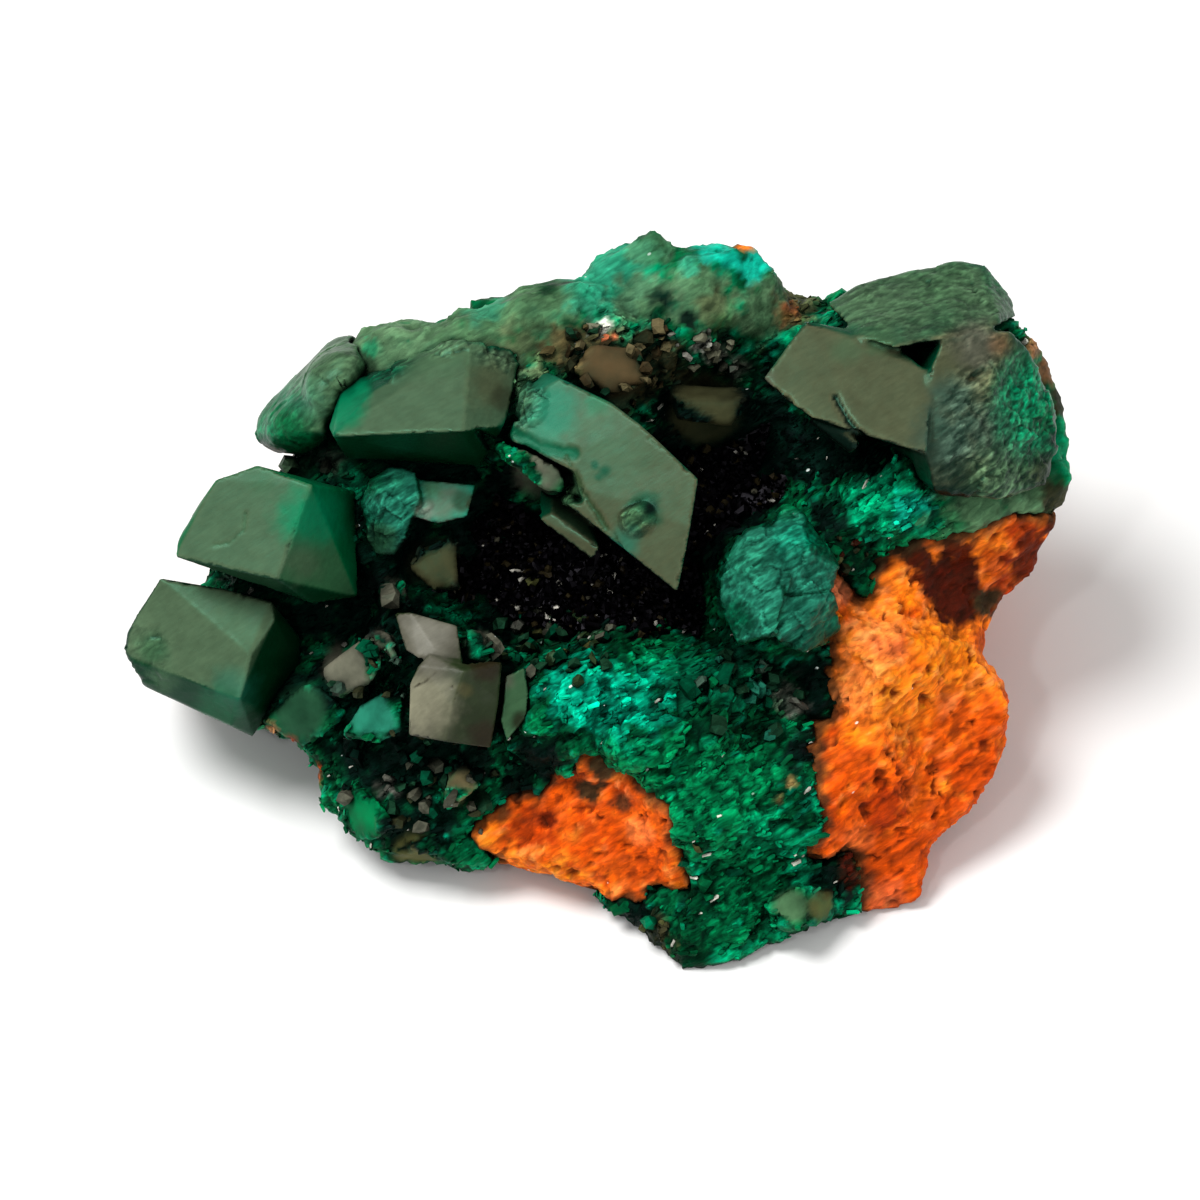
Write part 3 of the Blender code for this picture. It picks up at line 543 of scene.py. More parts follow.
druseMaterial = mineralMaterial("darkDruse", {
    **baseLook,
    "roughness": (0.2, 0.45),
    "specular": 0.05,
    "specularTint": (0.9, 0.85, 1.0),
    "bump": 0.05,
})


# Small crystals, for the druse and the granular parts

clusterPoints = 13  # six at the foot, six at the shoulder and the tip


# Points and faces of many uneven six-sided crystals, each with a blunt three-faced end
def crystalCluster(places, axes, widths, lengths, picker):
    spins = picker.uniform(0, 1, len(places))
    corners = []
    for height, drop in ((-0.4, 0.0), (0.6, 0.22)):
        for i in range(6):
            angle = math.radians(60 * i)
            corners.append((math.cos(angle) / 2, math.sin(angle) / 2, height + drop * (i % 2)))
    template = np.array(corners + [(0, 0, 1)])
    axes = axes / np.linalg.norm(axes, axis=1)[:, None]
    helper = np.where(np.abs(axes[:, 2:]) < 0.9, (0, 0, 1), (1, 0, 0))
    first = np.cross(helper, axes)
    first = first / np.linalg.norm(first, axis=1)[:, None]
    second = np.cross(axes, first)
    cos, sin = np.cos(spins)[:, None], np.sin(spins)[:, None]
    first, second = first * cos + second * sin, second * cos - first * sin
    second = second * picker.uniform(0.45, 1, len(places))[:, None]
    wide = template[None, :, 0, None] * first[:, None] + template[None, :, 1, None] * second[:, None]
    points = places[:, None] + wide * widths[:, None, None]
    points = points + template[None, :, 2, None] * axes[:, None] * lengths[:, None, None]
    points = points + picker.uniform(-0.11, 0.11, points.shape) * widths[:, None, None]
    single = [(5, 4, 3, 2, 1, 0)]
    for i in range(6):
        j = (i + 1) % 6
        single += [(i, j, 6 + j, 6 + i), (6 + i, 6 + j, 12)]
    faces = [tuple(c + clusterPoints * k for c in face) for k in range(len(places)) for face in single]
    return points.reshape(-1, 3), faces


def facetedPiece(name, points, faces, colours, grainy, material, node, slotName):
    points = np.clip(points, boxLow, boxHigh)
    mesh = bpy.data.meshes.new(name)
    mesh.from_pydata(points.tolist(), [], faces)
    paintTint(mesh, colours, np.full(len(colours), grainy), toSide(points))
    mesh.materials.append(material)
    seat(addObject(name, mesh), node)


# The rock

rockLook = {
    "voxel": 0.3,  # step of the fine mesh, in mm
    "lumps": 0.3,  # heights, in mm
    "pits": 0.3,
    "patches": [("deepOrange", 3.5, 31.0, -0.1, 0.5, 1), ("amber", 2.2, 53.0, 0.1, 0.5, 0.7)],
    "shadedPlaces": [(-3, 3, 9.5), (9, 8.5, 7.5), (14.5, 12, 6), (-13, 3, 6), (-17, 0, 6)],
    "pitPlaces": [
        (19.1, -11.9, 0.7), (17.8, -11.6, 0.45), (20.9, -10.6, 0.4), (20.3, -6.2, 0.35),
        (18.4, -5.9, 0.3), (17.5, -11, 0.4), (-3.4, -13.8, 0.5), (24.2, -9.2, 0.5),
    ],
    # Partly the rock's own tones and partly painted light: much of the apricot and amber toward the top
    # and the rust and deep orange lower down paint light falling from above, and the dark red at the top
    # right is painted shade in a hollow
    "spots": [
        (17.5, -2.5, 1.75, "apricot", 0.35), (16.2, -5.6, 1.5, "apricot", 0.3),
        (18.8, -6.2, 1.88, "amber", 0.5), (21.2, -2.5, 1.62, "amber", 0.7),
        (22.5, -3.9, 1, "amber", 0.6), (24.1, -7.5, 1.5, "deepOrange", 0.5),
        (18.8, -16.4, 2.5, "rust", 0.85), (23.8, -11.4, 2, "rust", 0.85),
        (21.9, -13.8, 1.5, "rust", 0.6), (16.9, -12.5, 1.38, "deepOrange", 0.5),
        (16.2, -15.1, 0.81, "apricot", 0.6), (18.1, -18.8, 1, "salmon", 0.7),
        (16.8, -18.6, 0.69, "salmon", 0.6), (14.9, 0.6, 0.69, "salmon", 0.8),
        (22.5, 0, 1.62, "darkRed", 0.97), (20.9, 1.6, 1, "darkRed", 0.95),
        (24.4, -0.1, 0.88, "umber", 0.8), (24.1, -2.5, 0.69, "rust", 0.7),
        (26.9, 3.4, 1.5, "rust", 0.9), (25, 2.4, 1, "rust", 0.7), (22.4, 3.1, 1, "darkRed", 0.8),
        (17.5, 2.5, 0.75, "darkRed", 0.8), (16.1, 2.8, 0.62, "ink", 0.9),
        (19.4, 3.4, 1, "darkRed", 0.8), (28.8, 4.4, 0.75, "darkRed", 0.8),
        (27.6, 2.4, 1.6, "darkRed", 0.6), (22, 1.4, 1.3, "darkRed", 0.9),
        (-3, -13, 3, "deepOrange", 0.8), (2, -15.5, 3, "deepOrange", 0.8),
        (18, -15, 5, "deepOrange", 0.7), (23, -9, 2.5, "deepOrange", 0.6),
        (17.9, -13.2, 1.1, "rust", 0.9), (15.6, -10.4, 1.6, "deepOrange", 0.8),
        (-4.4, -14.4, 1.38, "rust", 0.8), (-3.4, -13.8, 0.5, "darkRed", 0.7),
        (0, -13.9, 1.25, "deepOrange", 0.7), (3.1, -16.2, 1.38, "deepOrange", 0.6),
        (-0.6, -11.9, 0.75, "umber", 0.8), (0.1, -10.6, 0.69, "umber", 0.8),
        (1.4, -12.5, 0.56, "umber", 0.6), (2.5, -14.5, 0.75, "apricot", 0.3),
    ],
}


def dressRock(look):
    fine = FineMesh("orange_rock", "rock_matrix", look["voxel"], 1e9)
    lines = streakLines(fine.side, 2.2, 0.6, 9.0, 4)
    pits = smoothStep(0.45, 0.75, fractal(fine.inMm, 1.1, 17.0)) + disc(fine, look["pitPlaces"])
    heights = look["lumps"] * fractal(fine.inMm, 2.8, 4.0) + 0.16 * lines
    heights = heights + facetBumps(fine.inMm, 0.8, 0.16, 3.0) - look["pits"] * pits
    heights = heights * smoothStep(0.05, 0.5, fine.inMm[:, 2])
    colours = np.tile(asLinear("orange"), (len(fine.points), 1))
    colours = paintPatches(colours, fine, look["patches"])
    colours = blendTo(colours, "apricot", smoothStep(0.12, 0.5, lines) * 0.4)
    colours = blendTo(colours, "rust", smoothStep(0.15, 0.5, -lines) * 0.25)
    hidden = smoothStep(-3.5, -7, fine.side[:, 2])
    colours = blendTo(colours, "rust", hidden * smoothStep(-0.2, 0.5, fractal(fine.inMm, 3, 8)) * 0.8)
    colours = paintSpots(colours, fine, look["spots"], 0.7)
    colours = blendTo(colours, "rust", np.clip(pits, 0, 1) * 0.6)
    # Painted shade: the rock goes black where it lies in the dark hollow among the crystals
    shaded = disc(fine, look["shadedPlaces"]) * smoothStep(-12, -9, fine.side[:, 2])
    colours = blendTo(colours, "ink", shaded * 0.97)
    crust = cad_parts["dioptase_crust"].data
    tree = BVHTree.FromPolygons(readPoints(crust).tolist(), [tuple(p.vertices) for p in crust.polygons])
    gap = np.array([tree.find_nearest(Vector(p))[3] for p in fine.points]) / mm
    # Painted shade along the seam where the rock meets the crust: umber where the crust is close
    edge = smoothStep(0.9, 0.1, gap + 0.5 * fractal(fine.inMm, 0.8, 2.0))
    colours = blendTo(colours, "umber", edge * 0.6)
    fine.pushOut(heights)
    # Painted shade and highlight: darker in cracks and pits, lighter on ridges
    colours = colours * (1 + np.clip(fine.crest() * 6, -0.5, 0.4))[:, None]
    fine.finish(colours, np.ones(len(colours)), rockMaterial, "orange_rock")


dressRock(rockLook)


# The granular crust, with the small crystals that are fused to it

crustLook = {
    "voxel": 0.32,
    "leastFacet": 2.4,  # faces over this many square mm stay smooth
    "facets": (1.1, 0.3),  # size and lean of the larger grains
    "grains": (0.5, 0.3),
    "points": 6500,  # single small crystals, and their least and greatest width
    "pointSizes": (0.12, 0.36),
    "paintedGlint": 0.012,  # share of points painted white as glints
    "patches": [("deepGreen", 3.5, 71.0, -0.1, 0.4, 0.8), ("emerald", 2.4, 77.0, 0.1, 0.5, 0.7)],
    # The ink spots are painted shade, blackening the hollow and the crevices between crystals; the other
    # spots are the crust's own colours
    "spots": [
        (-13.8, 15.9, 2.81, "moss", 0.9), (-10.6, 16.9, 2.5, "moss", 0.9),
        (-6.9, 17.5, 2.81, "sage", 0.9), (-3.8, 18.1, 2.5, "sage", 0.9),
        (-16.9, 15, 2.19, "moss", 0.8), (-18.8, 13.4, 1.88, "moss", 0.7),
        (-7.2, 18.4, 1, "seaGreen", 0.6), (-14.2, 15.8, 0.5, "emerald", 0.7),
        (-6.2, 14.4, 1.88, "moss", 0.8), (-5, 15.6, 1.5, "brown", 0.4),
        (-3.2, 19.5, 0.5, "deepGreen", 0.6), (-0.9, 15.5, 1.62, "brown", 0.95),
        (-2.5, 15.9, 1.12, "brown", 0.8), (0.6, 13.8, 1.5, "umber", 0.9),
        (2.5, 13.8, 1.5, "umber", 0.8), (-0.6, 12.5, 1, "umber", 0.7),
        (2.5, 15.6, 1.12, "brown", 0.7), (1.4, 12.4, 0.75, "moss", 0.7),
        (1.2, 21.1, 2.25, "seaGreen", 0.85), (0, 19.4, 1.75, "seaGreen", 0.7),
        (3.2, 22, 1.25, "sage", 0.6), (2.5, 18.8, 1.62, "moss", 0.8), (4.2, 18.8, 0.81, "ink", 0.9),
        (3.9, 17.6, 0.69, "deepGreen", 0.9), (6.2, 19.4, 1.88, "moss", 0.8),
        (7.5, 18, 1.25, "brown", 0.5), (10, 18.2, 1.5, "moss", 0.8), (11, 19.5, 1.25, "moss", 0.7),
        (12.5, 19, 1.25, "brown", 0.8), (11.9, 18, 0.75, "rust", 0.35),
        (7, 22, 0.88, "turquoise", 0.9), (8, 21.4, 0.56, "turquoise", 0.9),
        (9.7, 21.1, 0.88, "turquoise", 0.95), (5.6, 21.1, 0.62, "seaGreen", 0.8),
        (9.1, 22.4, 0.44, "orange", 0.9), (0, 17, 0.44, "white", 0.7),
        (0.8, 16.5, 0.25, "salmon", 0.9), (6.4, 16.2, 0.5, "white", 0.8),
        (7.2, 15.4, 0.62, "grey", 0.8), (8.5, 14.6, 0.62, "grey", 0.8), (7.9, 16.6, 0.5, "ink", 0.7),
        (3.8, 15, 1.25, "umber", 0.9), (5.1, 14, 1, "umber", 0.9), (6.2, 10.6, 2.81, "ink", 1),
        (10, 10, 3.12, "ink", 1), (12.8, 10, 1.88, "ink", 0.95), (8.8, 6.2, 2, "ink", 1),
        (6.2, 3.8, 1.88, "ink", 1), (6.6, 13.1, 0.88, "umber", 0.8), (15.6, 7.5, 1.38, "pine", 0.9),
        (17.5, 6.2, 2.12, "emerald", 0.95), (19.7, 5.3, 1.12, "turquoise", 0.7),
        (20.3, 4.2, 1.25, "pine", 0.8), (14.4, 4.7, 1.25, "ink", 0.85),
        (13.3, -4.8, 1.2, "ink", 1), (13.4, -6.6, 1.1, "ink", 1),
        (15.6, 2.8, 1.25, "deepGreen", 0.9), (18.8, 3.1, 1.12, "pine", 0.8),
        (23.8, 5.5, 2.12, "moss", 0.85), (26.9, 6.2, 1.62, "moss", 0.8),
        (28.9, 6.2, 1.12, "umber", 0.8), (25.3, 4.1, 1.12, "umber", 0.8),
        (21.9, 4.4, 1, "pine", 0.6), (28.1, 14.4, 0.81, "clay", 0.9),
        (27.5, 15.9, 0.75, "clay", 0.9), (29, 12.4, 0.75, "umber", 0.8),
        (29.4, 9.4, 1.12, "emerald", 0.95), (5.6, -5.6, 1.75, "bottle", 0.9),
        (7.6, -5, 1.62, "bottle", 0.9), (8.8, -3.1, 1.25, "bottle", 0.8),
        (2.5, -11.2, 2.5, "leaf", 0.6), (8.8, -12.5, 2.38, "leaf", 0.9),
        (6.2, -10, 1.5, "leaf", 0.8), (5.6, -14.4, 1.38, "leaf", 0.8),
        (8.9, -16.4, 2.25, "leaf", 0.9), (10.1, -14.4, 1.25, "emerald", 0.5),
        (0, -6.2, 2.12, "teal", 0.95), (-2, -5.6, 1.25, "teal", 0.9), (2.6, -6.4, 1.5, "teal", 0.6),
        (11.9, -6.2, 0.94, "grey", 0.8), (13.4, -5.6, 0.75, "ink", 0.95),
        (13.7, -7.6, 0.75, "ink", 0.9), (12.5, -9.5, 0.94, "ink", 0.95),
        (6.6, -7.6, 1, "deepGreen", 0.8), (11.9, -11.4, 0.25, "tan", 0.9),
        (11.2, -12.5, 0.25, "tan", 0.9), (-2.5, -8.9, 1.12, "deepGreen", 0.9),
        (-3.8, -10.1, 1.25, "ink", 0.9), (0, -9.5, 1, "pine", 0.7), (-5, -11.6, 1.12, "ink", 0.9),
        (-12.5, -10.6, 2.12, "ink", 0.97), (-10.6, -9.4, 1.5, "ink", 0.95),
        (-15.6, -10, 1.5, "ink", 0.95), (-8, -10.1, 1.12, "ink", 0.9),
        (-16.9, -10.9, 0.81, "deepGreen", 0.7), (-12.4, -14.5, 1.25, "ink", 0.9),
        (-10, -13.9, 1.12, "ink", 0.9), (-13.4, -11.9, 0.56, "grey", 0.5),
        (-8.1, -15.6, 1.12, "pine", 0.8), (-6.1, -16.4, 0.81, "pine", 0.7),
        (-15.9, -14.5, 0.81, "deepGreen", 0.7), (-21.1, -8.6, 0.69, "clay", 0.9),
        (-19.6, -9.1, 0.5, "rust", 0.7), (-18, -11.2, 0.5, "rust", 0.6),
        (-19.4, -5.6, 0.94, "ink", 0.9), (-6.2, -1.4, 1.5, "ink", 0.95),
        (-3.8, -1.4, 1.12, "umber", 0.7), (-0.6, -1.9, 0.75, "moss", 0.7),
        (1.2, -2.6, 1.12, "deepGreen", 0.8), (3.8, -2.6, 1.12, "pine", 0.7),
        (5.6, -1.2, 0.94, "bottle", 0.8), (-1.4, -0.1, 0.56, "khaki", 0.8),
        (0.4, -0.8, 0.38, "salmon", 0.6), (-18.1, -1.2, 1.5, "ink", 0.97),
        (-15.6, -1.2, 1.5, "ink", 0.97), (-13.8, -1.4, 0.88, "ink", 0.9),
        (-18.8, 9.1, 1.12, "deepGreen", 0.9), (-16.8, 8.6, 0.75, "grey", 0.6),
        (-12.5, 9.1, 1.88, "deepGreen", 0.95), (-9.4, 9.1, 1.5, "ink", 0.9),
        (-15, 3.4, 0.81, "deepGreen", 0.9), (-7.5, 5, 2.12, "ink", 0.97),
        (-8.1, 2.5, 1.88, "ink", 0.97), (-5, 2.5, 2.75, "ink", 1), (-1.2, 0.6, 2.5, "ink", 1),
        (2.5, 0, 1.88, "ink", 1), (5.6, -21.4, 1.5, "deepGreen", 0.9),
        (7.6, -20.4, 1.25, "pine", 0.8), (3.1, -20.6, 1, "umber", 0.8),
        (2.2, -19.6, 0.88, "ink", 0.9), (4, -22.5, 0.69, "brown", 0.7), (10, -20.6, 1, "pine", 0.7),
        (9.5, -19.1, 1, "leaf", 0.7), (14.8, -17.2, 1.25, "ink", 0.95),
        (15.6, -16.9, 0.75, "darkRed", 0.9), (11.2, -17.6, 0.88, "pine", 0.8),
        (13.4, 9, 1.5, "ink", 1), (14.9, 8.7, 1.2, "ink", 1), (16.6, 8.6, 0.9, "ink", 0.9),
        (-14.5, 1.5, 1.7, "ink", 1), (-12.5, -1, 1.5, "ink", 1), (-16.5, 1, 1.7, "ink", 1),
        (-12, 3, 1.3, "ink", 1), (-15.3, 5.3, 0.9, "ink", 1), (-11.7, 4.7, 0.9, "ink", 1),
        (-9, 3.8, 1.2, "ink", 1), (-11.5, -3.4, 0.9, "ink", 1), (-16.9, -4.5, 1.2, "ink", 1),
        (-17.2, -6, 0.8, "ink", 1), (-12.4, -5.4, 0.8, "ink", 1), (-6, -4.6, 0.9, "ink", 1),
        (-9.2, -9, 0.9, "ink", 1), (-12.6, -8.9, 0.9, "ink", 1), (-17, 6.6, 0.8, "ink", 1),
        (-9, 7.8, 1, "ink", 1), (-6, 7.5, 1, "ink", 1), (-10.5, 8.4, 1, "ink", 1),
        (4, 12.4, 0.9, "ink", 0.9), (5, 11.6, 0.9, "ink", 1), (8.5, 12.6, 1, "ink", 1),
        (3.6, 16.6, 0.6, "ink", 0.9), (5.6, 17.6, 0.5, "ink", 0.8), (1.8, 15, 0.5, "ink", 0.8),
        (17.4, 15.6, 0.9, "clay", 0.9),
    ],
    "calm": [  # smoother growth
        (-14, 15.5, 4.5), (-8, 17, 4.5), (-3, 18, 3), (9.5, 18.6, 2.5), (25, 5.4, 3.5),
        (2, 21, 3.5), (8, 21.5, 3), (29, 13, 3.5), (29, 9, 3), (6, 19, 2.5), (18.5, 21, 3),
    ],
    "chips": [  # single crystals a step larger than the grains, and their size
        (-13.4, 0.4, 1.4, "stone"), (-6.6, -2.6, 1.3, "stone"), (-5.2, -1.5, 0.9, "grey"),
        (-3.6, -2, 1.1, "stone"), (-3, -3.3, 0.9, "moss"), (-1.2, -1, 0.7, "khaki"),
        (0.6, -1.6, 0.6, "stone"), (-13.4, -11.4, 0.8, "grey"), (-11.9, -12.2, 0.8, "stone"),
        (-9.2, -13, 0.7, "stone"), (-4.6, -4.6, 0.8, "stone"), (-16.3, -2.6, 0.4, "white"),
        (0, 17, 0.7, "cream"), (0.7, 16.5, 0.5, "salmon"), (6.4, 16.4, 0.8, "cream"),
        (5.8, 15.3, 0.6, "white"), (7.4, 15.2, 0.7, "cream"), (8.7, 14.6, 0.7, "grey"),
        (4.6, 17, 0.5, "grey"), (2.6, 16.5, 1.1, "umber"), (3.7, 15.6, 0.9, "umberBrown"),
        (-2, 14.4, 1, "umber"), (-3.4, 15.6, 0.8, "brown"), (1.6, 13, 0.7, "sand"),
        (3, 13.6, 0.6, "sand"), (-17.4, 8.3, 0.8, "stone"), (-20, 9.2, 1.2, "moss"),
        (-9.6, -4, 0.6, "grey"), (-14.6, -8.6, 0.8, "leaf"), (10.8, -5.4, 1.1, "slate"),
        (12.2, -6.4, 1, "grey"), (7.8, -4.4, 1.2, "bottle"), (5.4, -5.2, 1, "bottle"),
    ],
    "chipFields": [  # u, v, radius, count, greatest size and colours
        (-3, -2, 4, 60, 1.1, ("stone", "khaki", "moss", "slate", "slate", "oliveDark", "bottle")),
        (1.4, 14.8, 4, 45, 0.9, ("umber", "umber", "brown", "sand", "umberBrown", "slate")),
        (7, 15.4, 2, 12, 0.8, ("cream", "grey", "umber", "stone")),
        (-11, -11, 5.5, 50, 1.1, ("slate", "stone", "umberGrey", "bottle", "ink")),
        (-14.5, -4, 4, 30, 0.9, ("slate", "slateGrey", "umberGrey", "bottle")),
        (-15, 4, 3.4, 16, 0.8, ("slate", "umberGrey", "bottle")),
        (9.5, -5.5, 3.6, 30, 1.2, ("slate", "bottle", "leaf", "slateGrey", "verdigris")),
        (4, -17, 5, 24, 1, ("leaf", "emerald", "bottle", "khaki")),
        (15, 3, 2.6, 20, 0.8, ("pine", "khaki", "umber", "darkRed")),
    ],
    "facetSpots": [  # the small crystals' faces
        (-18.8, -7, 1.5, "slate", 1), (-14.1, -7.2, 1.5, "verdigris", 1),
        (-15.6, -4.1, 1.62, "stone", 1), (-13.5, -2.9, 0.88, "stone", 1),
        (-7.6, -3, 0.88, "stone", 0.8), (-10.5, 2.2, 1.5, "umberGrey", 1),
        (-13.1, 0.5, 0.88, "stone", 0.8), (6.6, 12, 2, "umberGrey", 1),
        (-14.7, -13.4, 1.38, "leaf", 1), (-8.5, -11.7, 1, "sand", 1),
        (-11.6, -15.9, 1.25, "khaki", 1), (11.9, -19.1, 0.94, "sage", 1),
        (13.8, -19.1, 0.81, "khaki", 0.8), (15.8, -18.9, 0.81, "emerald", 1),
        (-3.8, 8.2, 1.5, "stone", 0.8), (-19.7, 8.9, 1.38, "sage", 1),
        (0.8, 14.4, 1.75, "umberBrown", 1),
    ],
}


def dressCrust(look):
    fine = FineMesh("green_crust", "dioptase_crust", look["voxel"], look["leastFacet"])
    facets = disc(fine, [(u, v, 1.2 * radius) for u, v, radius, name, strength in look["facetSpots"]])
    fine.clean = fine.clean * facets
    calm = disc(fine, look["calm"])
    grainy = (1 - fine.clean) * (1 - 0.6 * calm)
    large = facetBumps(fine.inMm, *look["facets"], 5.0)
    small = facetBumps(fine.inMm, *look["grains"], 8.0)
    lines = streakLines(fine.side, 2.6, 0.5, 5.0)
    heights = 0.1 + grainy * (large + small + 0.12 * lines) + (1 - grainy) * 0.04 * lines
    colours = np.tile(asLinear("pine"), (len(fine.points), 1))
    colours = paintPatches(colours, fine, look["patches"])
    colours = blendTo(colours, "teal", smoothStep(0.22, 0.55, lines) * 0.3 * grainy)
    colours = paintSpots(colours, fine, look["spots"], 0.8)
    onFacets = paintSpots(colours, fine, look["facetSpots"], 0.0)
    colours = colours + (onFacets - colours) * fine.clean[:, None]
    fine.pushOut(heights)
    colours = carveCracks(fine, colours)
    # Painted shade and highlight: darker in cracks, lighter on ridges, where the crust is granular
    colours = colours * (1 + np.clip(fine.crest() * 9, -0.7, 0.8) * grainy)[:, None]
    picker = np.random.default_rng(5)
    outward = np.flatnonzero((grainy > 0.7) & (fine.lean[:, 2] > 0.3) & (fine.side[:, 2] > -10))
    chosen = picker.choice(outward, look["points"], replace=False)
    low, high = look["pointSizes"]
    widths = (low + (high - low) * picker.random(len(chosen)) ** 3) * mm
    normals = fine.normals[chosen]
    axes = streakWay + normals * (0.25 - normals @ streakWay)[:, None]
    axes = axes + picker.uniform(-0.35, 0.35, (len(chosen), 3))
    lengths = widths * picker.uniform(0.8, 2.2, len(chosen))
    shades = colours[chosen] * picker.uniform(0.7, 1.35, (len(chosen), 1))
    # Painted glints: a small share of the grains is painted white
    shades = blendTo(shades, "white", (picker.random(len(chosen)) < look["paintedGlint"]) * 0.85)
    chips, centres = list(look["chips"]), []
    for u, v, radius, count, size, names in look["chipFields"]:
        for a, b, c, d in picker.random((count, 4)):
            at = (u + radius * b * math.cos(math.tau * a), v + 0.8 * radius * b * math.sin(math.tau * a))
            if all(math.dist(at, spot[:2]) > 0.8 * spot[2] for spot in look["facetSpots"]):
                chips.append((*at, size * (0.3 + 0.7 * c), names[int(d * len(names))]))
    for u, v, size, name in chips:
        distance = np.hypot(fine.side[:, 0] - u, fine.side[:, 1] - v)
        near = distance < distance.min() + 0.3
        centres.append(fine.points[near][fine.side[near][:, 2].argmax()])
        shades = np.r_[shades, [asLinear(name) * 0.7]]
    sizes = np.array([size for u, v, size, name in chips]) * mm
    towards = towardsViewer + picker.uniform(-0.8, 0.8, (len(chips), 3))
    cluster = crystalCluster(
        np.concatenate([fine.points[chosen], centres]), np.concatenate([axes, towards]),
        np.r_[widths, sizes], np.r_[lengths, 0.9 * sizes], picker,
    )
    fine.finish(colours, grainy, crustMaterial, "granular_green")
    facetedPiece(
        "green_grains", *cluster, np.repeat(shades, clusterPoints, axis=0), 0.4, crustMaterial,
        "dioptase_crust", "granular_green",
    )


dressCrust(crustLook)


# The large crystals. "rough" holds discs where growth is granular, "worn" says how far edges are
# rounded there, "swell" holds low knobs, and "shade" dims the whole crystal.

